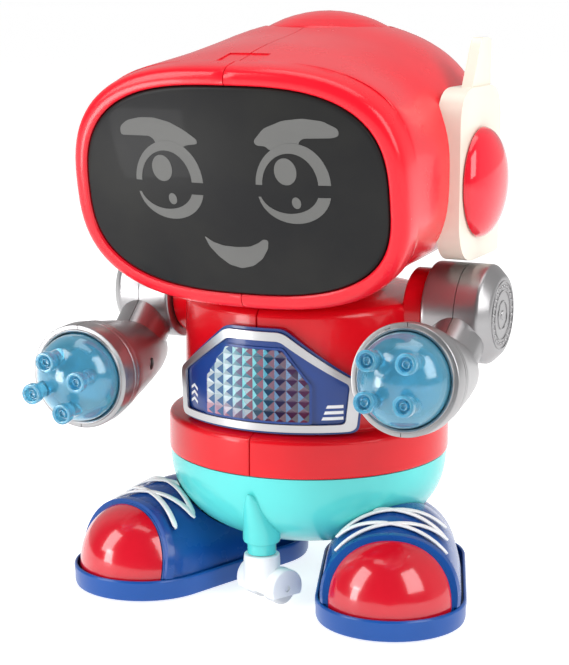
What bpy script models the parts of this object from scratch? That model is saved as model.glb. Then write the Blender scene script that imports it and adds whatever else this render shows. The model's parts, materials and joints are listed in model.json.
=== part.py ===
"""Toy robot with a lit face panel, lit arm cannons and wheeled sneakers.

Units are metres and +Z is up. The robot faces -Y and its left side is +X. The body's axis is
vertical, and the whole model is moved back by BODY_AXIS_Y, so that the origin is the middle of
the footprint of its box, on the floor.
"""
import math

import bmesh
import bpy
from mathutils import Matrix, Vector

GAP = 0.0003                 # air between pieces that touch
WALL = 0.0018                # wall of the moulded casings
ROUND = 32                   # segments round a large turned casing
SMALL_ROUND = 16             # segments round a small turned piece
BIG = 0.6                    # side of a box that cuts away a half space

BODY_AXIS_Y = 0.01200        # places the body's axis behind the middle of the box

# Pelvis, belt and torso
BELT_RADIUS = 0.0475
BELT_BOTTOM = 0.0446
BELT_TOP = 0.0562
TORSO_RADIUS = 0.0418
TORSO_TOP = 0.0965
COLLAR_RADIUS = 0.0260
COLLAR_TOP = 0.1030
BOWL_RADIUS = 0.0470
BOWL_BOTTOM = 0.0146
BOWL_EXPONENT = 2.4

# Head: the face is a superellipse on a plane that leans forward at the brow
FACE_CENTRE = (-0.0612, 0.1352)
FACE_TILT = math.radians(10.4)
FACE_HALF_WIDTH = 0.0506
FACE_UP, FACE_DOWN = 0.0337, 0.0316
FACE_EXPONENTS = (2.84, 2.82)
FACE_CURVE = 0.308           # radius of the face seen from above
FACE_BULGE = 0.142           # radius of the face seen from the side
NECK_RADIUS = 0.0236
CROWN_RADIUS = 0.0212
DISC_PLACE = (0.0165, 0.1841)  # middle of the crown disc, back and up
DISC_TILT = math.radians(-2.0)

# Depth behind the face and growth of the outline, round the rim's section
RIM_STEPS = ((-0.0013, -0.0300), (-0.0013, 0.0011), (-0.0013, 0.0037), (-0.0003, 0.0050),
             (0.0012, 0.0055), (0.0080, 0.0057))
# The same for the space inside, which is open to the front
RIM_HOLLOW = ((-0.0200, 0.0003), (0.0036, 0.0003), (0.0036, 0.0039), (0.0080, 0.0039))

# Sections of the head behind the rim: y, z, tilt in degrees, half width, up, down, exponents
HEAD_SECTIONS = ((-0.0440, 0.1385, 12.0, 0.0562, 0.0392, 0.0375, 2.9, 2.7),
                 (-0.0280, 0.1410, 8.0, 0.0558, 0.0398, 0.0365, 2.4, 3.0),
                 (-0.0100, 0.1440, 4.0, 0.0552, 0.0394, 0.0375, 2.35, 3.4),
                 (0.0080, 0.1460, 0.0, 0.0545, 0.0412, 0.0385, 2.15, 3.5),
                 (0.0240, 0.1465, -4.0, 0.0528, 0.0404, 0.0370, 2.1, 3.2),
                 (0.0370, 0.1465, -8.0, 0.0470, 0.0362, 0.0310, 2.3, 2.8),
                 (0.0460, 0.1465, -9.0, 0.0370, 0.0250, 0.0230, 2.2, 2.4),
                 (0.0505, 0.1465, -9.0, 0.0220, 0.0140, 0.0130, 2.0, 2.0))
HEAD_BACK = (0.0520, 0.1465)
HEAD_COUNT = 32

# Ear pads and their domes
EAR_CENTRE = (0.0020, 0.1366)
EAR_INNER = 0.0505
EAR_OUTER = 0.0588
EAR_LENS_RADIUS = 0.0177
EAR_LENS_HEIGHT = 0.0072

# Arms: a drum on the shoulder's axis with a forearm under it
SHOULDER_Z = 0.0942
DRUM_INNER = 0.0454
DRUM_OUTER = 0.0680
DRUM_RADIUS = 0.0162
DRUM_CHAMFER = 0.0036
ARM_MIDDLE = 0.0567
FOREARM_DROP = 0.0185
FOREARM_FRONT = 0.0570
RING_RADIUS = 0.0172
DOME_RADIUS = 0.0145
DOME_HEIGHT = 0.0112
BARREL_SPACING = 0.0122
BARREL_RADIUS = 0.0027
BARREL_TIP_RADIUS = 0.0034
BARREL_TIP = 0.0165
ARM_PITCH = {"left": 8.0, "right": -2.0}      # upward pitch of each forearm at rest, degrees
BARREL_ROLL = {"left": 0.0, "right": 27.0}    # roll of each barrel cluster at rest, degrees
AXLE_RADIUS = 0.0040

# Shoes: a stadium seen from above, splayed outwards
FOOT_CENTRE = (0.0368, -0.0145)
FOOT_SPLAY = math.radians(19.5)
FOOT_HALF_LENGTH = 0.0466
FOOT_HALF_WIDTH = 0.0240
SOLE_BOTTOM = 0.0005
SOLE_TOP = 0.0075
SOLE_FLOOR = 0.0025
UPPER_INSET = 0.0014
CAP_BASE = -0.0336                            # plane behind the toe cap, at the sole's edge
CAP_LEAN = math.radians(12.0)                 # how far that plane leans back
RIDGE_THICKNESS = 0.0024                      # raised arch behind the toe cap
CROWN_PLACE = -0.0250                         # where the toe's curve ends, along the shoe
ARCH_STEPS = 14                               # segments across the shoe's upper
LACE_RADIUS = 0.0012
# Each pair of crossed laces: from and to an angle over the shoe, between two places along it
LACE_ROWS = ((42.0, 138.0, -0.0250, -0.0165), (44.0, 136.0, -0.0165, -0.0090))

# Gear drive in each shoe, across the shoe (x), along it (y) and up (z)
GEAR_MODULE = 0.0009
WHEEL_TEETH = 17
SMALL_TEETH = 8
IDLER_TEETH = 20
WHEEL_RADIUS = 0.0095
WHEEL_PLACE = (0.0100, 0.0095)
IDLER_RISE = 0.0045
PINION_RISE = 0.0005
MOTOR_SIZE = (0.0170, 0.0150, 0.0120)

# Caster under the front of the pelvis
CASTER_Y = -0.0380
CASTER_TURN = math.radians(-27.0)
CASTER_TOP = 0.0163
CASTER_STEM_TOP = 0.0232
CASTER_TRAIL = 0.0030
ROLLER_RADIUS = 0.0046
ROLLER_WIDTH = 0.0062

# Batteries: standard AA cells behind the door in the back
CELL_RADIUS = 0.00725
CELL_LENGTH = 0.0505
CELL_Y = 0.0217
CELL_HEIGHTS = (0.0545, 0.0693, 0.0841)

RED = (0.80, 0.022, 0.038)
LENS_RED = (0.72, 0.010, 0.025)
BLUE = (0.012, 0.085, 0.36)
TURQUOISE = (0.09, 0.66, 0.64)
CREAM = (0.82, 0.74, 0.62)
SILVER = (0.42, 0.42, 0.43)
SMOKE = (0.020, 0.020, 0.022)
WHITE = (0.85, 0.87, 0.88)
CLEAR_BLUE = (0.10, 0.45, 0.75)
CLEAR = (0.70, 0.75, 0.80)
BOARD = (0.02, 0.16, 0.06)
STEEL = (0.55, 0.55, 0.56)
NYLON = (0.75, 0.74, 0.70)
BLACK = (0.02, 0.02, 0.02)
COPPER = (0.62, 0.30, 0.12)

SIDES = {"left": 1, "right": -1}


# ---------------------------------------------------------------- scene and objects

def clear_scene():
    for item in list(bpy.data.objects):
        bpy.data.objects.remove(item, do_unlink=True)


def make_collection(name):
    collection = bpy.data.collections.new(name)
    bpy.context.scene.collection.children.link(collection)
    return collection


def make_frame(name, location=(0, 0, 0), rotation=(0, 0, 0), parent=None):
    """An empty that places the pieces parented to it."""
    frame = bpy.data.objects.new(name, None)
    frame.location = location
    frame.rotation_euler = rotation
    frame.parent = parent
    parts.objects.link(frame)
    return frame


def make_material(name, colour, roughness, metallic=0.0):
    material = bpy.data.materials.new(name)
    material.use_nodes = True
    shader = material.node_tree.nodes["Principled BSDF"]
    shader.inputs["Base Color"].default_value = (*colour, 1.0)
    shader.inputs["Roughness"].default_value = roughness
    shader.inputs["Metallic"].default_value = metallic
    material.diffuse_color = (*colour, 1.0)
    return material


def place(name, mesh, frame, look):
    """Make a part of the robot from a mesh; look is its colour, roughness and metallic value."""
    part = bpy.data.objects.new(name, mesh)
    part.parent = frame
    parts.objects.link(part)
    mesh.materials.append(make_material(name, *look))
    return part


def place_tool(name, mesh, frame):
    """Make a cutter, or a shape that a part is joined with."""
    tool = bpy.data.objects.new(name, mesh)
    tool.parent = frame
    tool.hide_render = True
    tool.display_type = "WIRE"
    tools.objects.link(tool)
    return tool


def combine(part, tool, operation):
    modifier = part.modifiers.new(operation.lower() + "_" + tool.name, "BOOLEAN")
    modifier.operation = operation
    modifier.solver = "EXACT"
    modifier.object = tool


def finish_mesh(name, bm, smooth=35.0):
    """Turn a bmesh into a mesh, shaded smooth except across edges sharper than the angle."""
    mesh = bpy.data.meshes.new(name)
    bm.to_mesh(mesh)
    bm.free()
    if smooth:
        mesh.shade_smooth()
        mesh.set_sharp_from_angle(angle=math.radians(smooth))
    return mesh


# ---------------------------------------------------------------- basic shapes

def box_mesh(name, size, centre=(0, 0, 0), bevel=0.0):
    bm = bmesh.new()
    bmesh.ops.create_cube(bm, size=1.0)
    bmesh.ops.scale(bm, vec=size, verts=bm.verts)
    bmesh.ops.translate(bm, vec=centre, verts=bm.verts)
    if bevel:
        bmesh.ops.bevel(bm, geom=bm.edges[:], offset=bevel, segments=1, affect="EDGES")
    return finish_mesh(name, bm, smooth=0)


def rod_mesh(name, radius, start, end, segments=SMALL_ROUND):
    """A cylinder from one point to another."""
    start, end = Vector(start), Vector(end)
    along = end - start
    turn = along.to_track_quat("Z", "Y").to_matrix().to_4x4()
    bm = bmesh.new()
    bmesh.ops.create_cone(bm, cap_ends=True, segments=segments, radius1=radius, radius2=radius,
                          depth=along.length, matrix=Matrix.Translation((start + end) / 2) @ turn)
    return finish_mesh(name, bm)


def turned_mesh(name, profile, axis="Z", segments=SMALL_ROUND):
    """A profile of (radius, height) points, turned round an axis.

    The profile runs down its outer side. It is closed if neither end lies on the axis.
    """
    mesh = bpy.data.meshes.new(name + "_profile")
    count = len(profile)
    closed = profile[0][0] > 0 and profile[-1][0] > 0
    edges = [(i, i + 1) for i in range(count - 1)] + ([(count - 1, 0)] if closed else [])
    mesh.from_pydata([(radius, 0, height) for radius, height in profile], edges, [])
    blank = bpy.data.objects.new(name + "_blank", mesh)
    tools.objects.link(blank)
    screw = blank.modifiers.new("turn", "SCREW")
    screw.axis = "Z"
    screw.steps = screw.render_steps = segments
    screw.use_merge_vertices = True
    screw.merge_threshold = 0.00001
    bpy.context.view_layer.update()
    depsgraph = bpy.context.evaluated_depsgraph_get()
    turned = bpy.data.meshes.new_from_object(blank.evaluated_get(depsgraph))
    bpy.data.objects.remove(blank, do_unlink=True)
    turned.name = name
    if axis == "X":
        turned.transform(Matrix.Rotation(math.radians(90), 4, "Y"))
    elif axis == "-X":
        turned.transform(Matrix.Rotation(math.radians(-90), 4, "Y"))
    elif axis == "-Y":
        turned.transform(Matrix.Rotation(math.radians(90), 4, "X"))
    turned.shade_smooth()
    turned.set_sharp_from_angle(angle=math.radians(35))
    return turned


def moved(mesh, offset):
    mesh.transform(Matrix.Translation(offset))
    return mesh


def prism_mesh(name, outline, direction, start, end):
    """A flat outline given along the two other axes, pushed through along X or Y."""
    def lay(point, depth):
        if direction == "X":
            return (depth, point[0], point[1])
        return (point[0], depth, point[1])

    bm = bmesh.new()
    face = bm.faces.new([bm.verts.new(lay(point, start)) for point in outline])
    pushed = bmesh.ops.extrude_face_region(bm, geom=[face])
    verts = [item for item in pushed["geom"] if isinstance(item, bmesh.types.BMVert)]
    offset = Vector(lay((0, 0), end)) - Vector(lay((0, 0), start))
    bmesh.ops.translate(bm, vec=offset, verts=verts)
    bmesh.ops.recalc_face_normals(bm, faces=bm.faces)
    return finish_mesh(name, bm)


def loft_mesh(name, loops, tip=None):
    """A skin through closed loops that run anticlockwise seen from -Y and follow each other to
    +Y. It is capped flat, or ends in a point at tip."""
    bm = bmesh.new()
    rows = [[bm.verts.new(point) for point in loop] for loop in loops]
    count = len(loops[0])
    for near, far in zip(rows, rows[1:]):
        for i in range(count):
            j = (i + 1) % count
            bm.faces.new((near[i], far[i], far[j], near[j]))
    if tip:
        end = bm.verts.new(tip)
        for i in range(count):
            bm.faces.new((rows[-1][i], end, rows[-1][(i + 1) % count]))
    else:
        bm.faces.new(rows[-1])
    bm.faces.new(list(reversed(rows[0])))
    bmesh.ops.recalc_face_normals(bm, faces=bm.faces)
    return finish_mesh(name, bm)


def corner_points(centre, radius, start, end, steps):
    """Points of an arc, from one angle in degrees to another."""
    points = []
    for i in range(steps + 1):
        angle = math.radians(start + (end - start) * i / steps)
        points.append((centre[0] + radius * math.cos(angle), centre[1] + radius * math.sin(angle)))
    return points


def superellipse(half_width, up, down, exponents, count):
    """Points of an outline with its own height and exponent above and below the middle."""
    points = []
    for i in range(count):
        angle = 2 * math.pi * (i + 0.5) / count
        c, s = math.cos(angle), math.sin(angle)
        height, exponent = (up, exponents[0]) if s > 0 else (down, exponents[1])
        across = math.copysign(abs(c) ** (2 / exponent), c) * half_width
        points.append((across, math.copysign(abs(s) ** (2 / exponent), s) * height))
    return points


def half_space(name, frame, axis, side, limit):
    """A big box on one side of a plane across an axis."""
    centre = [0, 0, 0]
    centre[axis] = limit + side * BIG / 2
    return place_tool(name, box_mesh(name, (BIG, BIG, BIG), centre), frame)


# ---------------------------------------------------------------- head

def lean(section, y, z, tilt):
    """Stand an outline up across the head, leaning forward by tilt."""
    return [(u, y - v * math.sin(tilt), z + v * math.cos(tilt)) for u, v in section]


def face_loop(depth, grow):
    """The face's outline, grown, at a depth behind the curved face."""
    outline = superellipse(FACE_HALF_WIDTH + grow, FACE_UP + grow, FACE_DOWN + grow,
                           FACE_EXPONENTS, HEAD_COUNT)
    loop = []
    for u, v in outline:
        back = depth + u ** 2 / (2 * FACE_CURVE) + v ** 2 / (2 * FACE_BULGE)
        loop.append((u, FACE_CENTRE[0] + back * math.cos(FACE_TILT) - v * math.sin(FACE_TILT),
                     FACE_CENTRE[1] + back * math.sin(FACE_TILT) + v * math.cos(FACE_TILT)))
    return loop


def head_loops(grow):
    loops = []
    for y, z, tilt, half_width, up, down, n_up, n_low in HEAD_SECTIONS:
        outline = superellipse(half_width + grow, up + grow, down + grow, (n_up, n_low),
                               HEAD_COUNT)
        loops.append(lean(outline, y, z, math.radians(tilt)))
    return loops


def head_tip(grow):
    return (0, HEAD_BACK[0] + grow, HEAD_BACK[1])


def build_head(frame):
    rim = [face_loop(depth, grow) for depth, grow in RIM_STEPS]
    hollow_rim = [face_loop(depth, grow) for depth, grow in RIM_HOLLOW]
    hollow = place_tool("head_hollow", loft_mesh(
        "head_hollow", hollow_rim + head_loops(-WALL), tip=head_tip(-WALL)), frame)
    neck_hole = place_tool("neck_hole", rod_mesh("neck_hole", NECK_RADIUS + 0.0004,
                                                 (0, 0, 0.09), (0, 0, 0.13), ROUND), frame)
    crown_frame = make_frame("crown_frame", (0, *DISC_PLACE), (DISC_TILT, 0, 0), frame)
    crown_hole = place_tool("crown_hole", rod_mesh("crown_hole", CROWN_RADIUS + GAP,
                                                   (0, 0, -0.02), (0, 0, 0.02), ROUND),
                            crown_frame)
    for side_name, side in SIDES.items():
        shell = place("head_shell_" + side_name, loft_mesh(
            "head_shell", rim + head_loops(0), tip=head_tip(0)), frame,
            (RED, 0.22))
        combine(shell, hollow, "DIFFERENCE")
        combine(shell, half_space("head_seam_" + side_name, frame, 0, -side, side * GAP / 2),
                "DIFFERENCE")
        combine(shell, neck_hole, "DIFFERENCE")
        combine(shell, crown_hole, "DIFFERENCE")
    lens = [face_loop(-0.0007, -0.0300), face_loop(-0.0007, -0.0140),
            face_loop(-0.0007, -0.0010), face_loop(0, 0), face_loop(0.0028, 0),
            face_loop(0.0028, -0.0140), face_loop(0.0028, -0.0300)]
    place("face_lens", loft_mesh("face_lens", lens), frame, (SMOKE, 0.12))
    board = box_mesh("face_board", (0.0700, 0.0016, 0.0440), (0, 0.0095, 0))
    board.transform(Matrix.Translation((0, *FACE_CENTRE))
                    @ Matrix.Rotation(FACE_TILT, 4, "X"))
    place("face_board", board, frame, (BOARD, 0.5))
    crown = ((0, 0.0059), (0.0070, 0.0053), (0.0130, 0.0038), (0.0180, 0.0018),
             (0.0203, 0.0007), (CROWN_RADIUS, -0.0003), (CROWN_RADIUS, -0.0050),
             (0.0196, -0.0050), (0.0196, -0.0012), (0.0120, 0.0018), (0, 0.0038))
    place("crown_disc", turned_mesh("crown_disc", crown, segments=ROUND), crown_frame,
          (RED, 0.22))
    neck = ((0.0270, 0.1205), (0.0270, 0.1190), (NECK_RADIUS, 0.1190), (NECK_RADIUS, 0.0945),
            (0.0270, 0.0945), (0.0270, 0.0925), (0.0205, 0.0925), (0.0205, 0.1205))
    place("neck_tube", turned_mesh("neck_tube", neck, segments=24), frame, (RED, 0.3))
    for side_name, side in SIDES.items():
        build_ear(frame, side_name, side)


def ear_outline():
    """The ear pad seen from the side: flat below, round shouldered above."""
    y, z = EAR_CENTRE
    outline = [(y + 0.0200, 0.1120)]
    outline += corner_points((y + 0.0105, 0.1575), 0.0095, 0, 90, 4)
    outline += corner_points((y - 0.0105, 0.1575), 0.0095, 90, 180, 4)
    outline += [(y - 0.0200, 0.1300)]
    outline += corner_points((y - 0.0090, 0.1230), 0.0110, 180, 270, 4)
    return outline


def build_ear(frame, side_name, side):
    """The ear pad, with a fin on the left one only, and the dome in the middle of it."""
    inner, outer = side * EAR_INNER, side * EAR_OUTER
    pad = place("ear_cover_" + side_name,
                prism_mesh("ear_cover", ear_outline(), "X", *sorted((inner, outer))),
                frame, (CREAM, 0.35))
    y, z = EAR_CENTRE
    if side_name == "left":
        fin = [(0.0130, 0.1626), (0.0130, 0.1800), (0.0105, 0.1822), (0.0035, 0.1822),
               (-0.0065, 0.1645), (-0.0065, 0.1626)]
        combine(pad, place_tool("ear_fin", prism_mesh("ear_fin", fin, "X", 0.0545, 0.0580),
                                frame), "UNION")
    combine(pad, place_tool("ear_bore_" + side_name, rod_mesh(
        "ear_bore", 0.0150, (side * 0.04, y, z), (side * 0.07, y, z), 24), frame), "DIFFERENCE")
    cut_with_head(pad, frame, side_name)
    dome = [(0, EAR_LENS_HEIGHT)]
    for degrees in (70, 50, 30, 12):
        angle = math.radians(degrees)
        dome.append((EAR_LENS_RADIUS * math.cos(angle), EAR_LENS_HEIGHT * math.sin(angle)))
    dome += [(EAR_LENS_RADIUS, 0), (0.0158, 0), (0.0120, 0.0036), (0, 0.0056)]
    axis = "X" if side > 0 else "-X"
    place("ear_lens_" + side_name,
          moved(turned_mesh("ear_lens", dome, axis, 24), (outer + side * GAP, y, z)),
          frame, (LENS_RED, 0.1))


def cut_with_head(part, frame, side_name):
    """Cut a piece that lies on the head by the head's outer form."""
    loops = [face_loop(0.008, 0.0057 + GAP)] + head_loops(GAP)
    form = loft_mesh("head_form", loops)
    combine(part, place_tool("head_form_" + side_name, form, frame), "DIFFERENCE")


# ---------------------------------------------------------------- torso and pelvis

def torso_profile():
    """The torso's section: collar, shoulders, waist and belt outside, then the inner wall."""
    inner = TORSO_RADIUS - WALL
    belt_inner = BELT_RADIUS - 0.0021
    neck_bore = NECK_RADIUS + 0.0005
    return ((COLLAR_RADIUS, COLLAR_TOP), (COLLAR_RADIUS, 0.0996), (0.0340, 0.0988),
            (0.0405, 0.0976), (TORSO_RADIUS - 0.0004, TORSO_TOP), (TORSO_RADIUS, 0.0620),
            (TORSO_RADIUS + 0.0004, 0.0584), (BELT_RADIUS - 0.0008, BELT_TOP + 0.0010),
            (BELT_RADIUS, BELT_TOP), (BELT_RADIUS, BELT_BOTTOM + 0.0004),
            (BELT_RADIUS - 0.0004, BELT_BOTTOM), (belt_inner, BELT_BOTTOM),
            (belt_inner, 0.0545), (inner + 0.0002, 0.0595), (inner, 0.0950),
            (0.0340, 0.0964), (neck_bore, 0.0972), (neck_bore, COLLAR_TOP))


def badge_outline(grow):
    """House-shaped badge outline across the chest, grown outwards from its middle."""
    half_bottom, half_shoulder, half_top = 0.0300, 0.0312, 0.0105
    bottom, shoulder, top, middle = 0.0588, 0.0735, 0.0915, 0.0740
    right = [(half_bottom - 0.0025, bottom), (half_bottom, bottom + 0.0025),
             (half_shoulder, shoulder), (half_shoulder - 0.0012, shoulder + 0.0028),
             (half_top + 0.0012, top - 0.0010), (half_top - 0.0015, top)]
    wider, taller = 1 + grow / half_shoulder, 1 + 2 * grow / (top - bottom)
    outline = [(x * wider, middle + (z - middle) * taller) for x, z in right]
    return outline + [(-x, z) for x, z in reversed(outline)]


def chest_band(name, inner, outer, outline, look, frame):
    """A piece of a ring round the chest, as far as an outline pushed through it reaches."""
    ring = ((outer, 0.0975), (outer, 0.0560), (inner, 0.0560), (inner, 0.0975))
    part = place(name, turned_mesh(name, ring, segments=48), frame, look)
    prism = prism_mesh(name + "_outline", outline, "Y", -0.06, -0.02)
    combine(part, place_tool(name + "_outline", prism, frame), "INTERSECT")
    return part


def build_badge(frame):
    base = TORSO_RADIUS + 0.0007
    chest_band("badge_plate", base, base + 0.0016, badge_outline(0), (BLUE, 0.3), frame)
    border = chest_band("badge_border", base + 0.0019, base + 0.0027, badge_outline(-0.0010),
                        (SILVER, 0.3, 0.9), frame)
    window = prism_mesh("badge_window", badge_outline(-0.0036), "Y", -0.06, -0.02)
    combine(border, place_tool("badge_window", window, frame), "DIFFERENCE")
    lens = [(0.0175, 0.0628), (0.0175, 0.0735), (0.0090, 0.0855), (-0.0090, 0.0855),
            (-0.0175, 0.0735), (-0.0175, 0.0628)]
    chest_band("chest_lens", base + 0.0019, base + 0.0031, lens, (CLEAR, 0.1), frame)


def build_torso(frame):
    for side_name, side in SIDES.items():
        shell = place("torso_shell_" + side_name,
                      turned_mesh("torso_shell", torso_profile(), segments=ROUND),
                      frame, (RED, 0.22))
        boss = rod_mesh("shoulder_boss", 0.0137, (side * 0.0385, 0, SHOULDER_Z),
                        (side * (DRUM_INNER - GAP), 0, SHOULDER_Z), 24)
        combine(shell, place_tool("shoulder_boss_" + side_name, boss, frame), "UNION")
        bore = rod_mesh("shoulder_bore", AXLE_RADIUS + 0.0001, (side * 0.0384, 0, SHOULDER_Z),
                        (side * 0.05, 0, SHOULDER_Z))
        combine(shell, place_tool("shoulder_bore_" + side_name, bore, frame), "DIFFERENCE")
        combine(shell, half_space("torso_seam_" + side_name, frame, 0, -side, side * GAP / 2),
                "DIFFERENCE")
        door = box_mesh("door_opening", (0.0560, 0.03, 0.0345), (0, 0.0435, 0.07575))
        combine(shell, place_tool("door_opening_" + side_name, door, frame), "DIFFERENCE")
        slot = box_mesh("switch_slot", (0.0130, 0.01, 0.0046), (0, 0.0465, 0.0504))
        combine(shell, place_tool("switch_slot_" + side_name, slot, frame), "DIFFERENCE")
    build_badge(frame)
    build_bowl(frame)


def bowl_profile(shrink):
    """The bowl's skin from its brim down to its bottom on the axis."""
    depth = BELT_BOTTOM - BOWL_BOTTOM - shrink
    points = []
    for i in range(8):
        angle = math.radians(90 * i / 7)
        radius = (BOWL_RADIUS - shrink) * math.cos(angle) ** (2 / BOWL_EXPONENT)
        points.append((max(radius, 0), BELT_BOTTOM - GAP - depth * math.sin(angle) ** (
            2 / BOWL_EXPONENT)))
    points[-1] = (0, points[-1][1])
    return points


def build_bowl(frame):
    profile = bowl_profile(0) + list(reversed(bowl_profile(0.0020)))
    bowl = place("pelvis_bowl", turned_mesh("pelvis_bowl", profile, segments=ROUND), frame,
                 (TURQUOISE, 0.3))
    loops = []
    # The boss is a pointed drop, widening downwards to the round collar over the caster.
    for half_width, front, z in ((0.0008, 0.0484, 0.0385), (0.0026, 0.0477, 0.0350),
                                 (0.0045, 0.0462, 0.0295), (0.0062, 0.0442, 0.0245),
                                 (0.0062, 0.0442, 0.0208), (0.0047, 0.0427, 0.0202),
                                 (0.0047, 0.0427, CASTER_TOP + GAP)):
        loops.append([(half_width * math.cos(a), half_width - front + half_width * math.sin(a), z)
                      for a in (2 * math.pi * (k + 0.5) / 16 for k in range(16))])
    combine(bowl, place_tool("caster_boss", loft_mesh("caster_boss", loops), frame), "UNION")
    bore = rod_mesh("caster_bore", 0.0032, (0, CASTER_Y, 0.010),
                    (0, CASTER_Y, CASTER_STEM_TOP + GAP))
    combine(bowl, place_tool("caster_bore", bore, frame), "DIFFERENCE")
    inside = turned_mesh("bowl_inside", [(0, BELT_BOTTOM + 0.01)] + [
        (BOWL_RADIUS - 0.0021, BELT_BOTTOM + 0.01)] + bowl_profile(0.0021), segments=ROUND)
    combine(bowl, place_tool("bowl_inside", inside, frame), "DIFFERENCE")


# ---------------------------------------------------------------- inside the torso

def build_inside(frame):
    box = place("battery_box", box_mesh("battery_box", (0.0544, 0.0160, 0.0456),
                                        (0, CELL_Y - 0.0012, CELL_HEIGHTS[1])), frame,
                (BLACK, 0.5))
    hollow = box_mesh("battery_hollow", (0.0526, 0.02, 0.0445),
                      (0, CELL_Y + 0.0022, CELL_HEIGHTS[1]))
    combine(box, place_tool("battery_hollow", hollow, frame), "DIFFERENCE")
    for number, height in enumerate(CELL_HEIGHTS, 1):
        flip = 1 if number % 2 else -1
        half = CELL_LENGTH / 2
        cell = ((0, half), (0.0027, half), (0.0027, half - 0.0012), (CELL_RADIUS, half - 0.0014),
                (CELL_RADIUS, -half), (0, -half))
        mesh = turned_mesh("battery_cell", cell, "X" if flip > 0 else "-X")
        place("battery_cell_%d" % number, moved(mesh, (0, CELL_Y, height)), frame,
              (COPPER, 0.4, 0.6))
    door_outline = [(-0.0277, 0.0588), (0.0277, 0.0588), (0.0277, 0.0927), (-0.0277, 0.0927)]
    ring = ((TORSO_RADIUS, 0.0975), (TORSO_RADIUS, 0.0560),
            (TORSO_RADIUS - WALL, 0.0560), (TORSO_RADIUS - WALL, 0.0975))
    door = place("battery_door", turned_mesh("battery_door", ring, segments=ROUND), frame,
                 (RED, 0.3))
    prism = prism_mesh("door_outline", door_outline, "Y", 0.02, 0.06)
    combine(door, place_tool("door_outline", prism, frame), "INTERSECT")
    screw_hole = rod_mesh("door_screw_hole", 0.0017, (0, 0.03, 0.0895), (0, 0.05, 0.0895))
    combine(door, place_tool("door_screw_hole", screw_hole, frame), "DIFFERENCE")
    screw = ((0, 0.0052), (0.0028, 0.0052), (0.0030, 0.0042), (0.0030, 0.0034),
             (0.0014, 0.0034), (0.0014, -0.0012), (0, -0.0012))
    mesh = turned_mesh("battery_door_screw", screw, "-Y")
    mesh.transform(Matrix.Rotation(math.pi, 4, "Z"))
    place("battery_door_screw", moved(mesh, (0, TORSO_RADIUS - 0.0034 + GAP, 0.0895)), frame,
          (STEEL, 0.3, 1.0))
    place("chest_board", box_mesh("chest_board", (0.0360, 0.0016, 0.0260),
                                  (0, -0.0335, 0.0745)), frame, (BOARD, 0.5))
    place("main_board", box_mesh("main_board", (0.0420, 0.0016, 0.0300),
                                 (0, 0.0040, 0.0740)), frame, (BOARD, 0.5))
    speaker = ((0, 0.0300), (0.0090, 0.0300), (0.0090, 0.0260), (0.0180, 0.0215),
               (0.0180, 0.0195), (0.0150, 0.0195), (0, 0.0235))
    place("speaker", moved(turned_mesh("speaker", speaker, segments=24), (0, 0, -0.001)),
          frame, (BLACK, 0.6))
    switch = place("power_switch", box_mesh("power_switch", (0.0060, 0.0052, 0.0040),
                                            (-0.0022, BELT_RADIUS - 0.0016, 0.0504),
                                            bevel=0.0004), frame, (BLACK, 0.4))
    flange = box_mesh("switch_flange", (0.0100, 0.0012, 0.0090),
                      (-0.0022, BELT_RADIUS - 0.0042, 0.0504))
    combine(switch, place_tool("switch_flange", flange, frame), "UNION")


# ---------------------------------------------------------------- arms

def forearm_profile(grow, front):
    """Radius along the forearm, from its front end back to its rear point, as (radius, reach)."""
    shape = ((RING_RADIUS, front), (RING_RADIUS, 0.0500), (RING_RADIUS - 0.0012, 0.0480),
             (0.0148, 0.0400), (0.0118, 0.0240), (0.0088, 0.0120), (0.0060, 0.0095))
    return [(radius + grow, reach - (grow if reach < 0.011 else 0)) for radius, reach in shape]


def drum_solid(name, side, grow):
    """The arm's drum, grown outwards; a negative grow gives the space inside."""
    outer, inner = DRUM_OUTER + grow, DRUM_INNER - grow
    radius = DRUM_RADIUS + grow
    drum = ((0, outer), (radius - DRUM_CHAMFER, outer), (radius, outer - DRUM_CHAMFER),
            (radius, inner + 0.0008), (radius - 0.0008, inner), (0, inner))
    return turned_mesh(name, drum, "X" if side > 0 else "-X", 24)


def forearm_solid(name, side, grow, front):
    profile = [(0, front)] + forearm_profile(grow, front)
    profile.append((0, profile[-1][1]))
    mesh = turned_mesh(name, profile, "-Y", 20)
    return moved(mesh, (side * ARM_MIDDLE, 0, -FOREARM_DROP))


def link_solid(name, side, grow):
    """The round neck between the drum and the forearm."""
    start, end = Vector((side * ARM_MIDDLE, 0, 0)), Vector((side * ARM_MIDDLE, -0.0230, -0.0185))
    return rod_mesh(name, 0.0092 + grow, start, end, 20)


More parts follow.
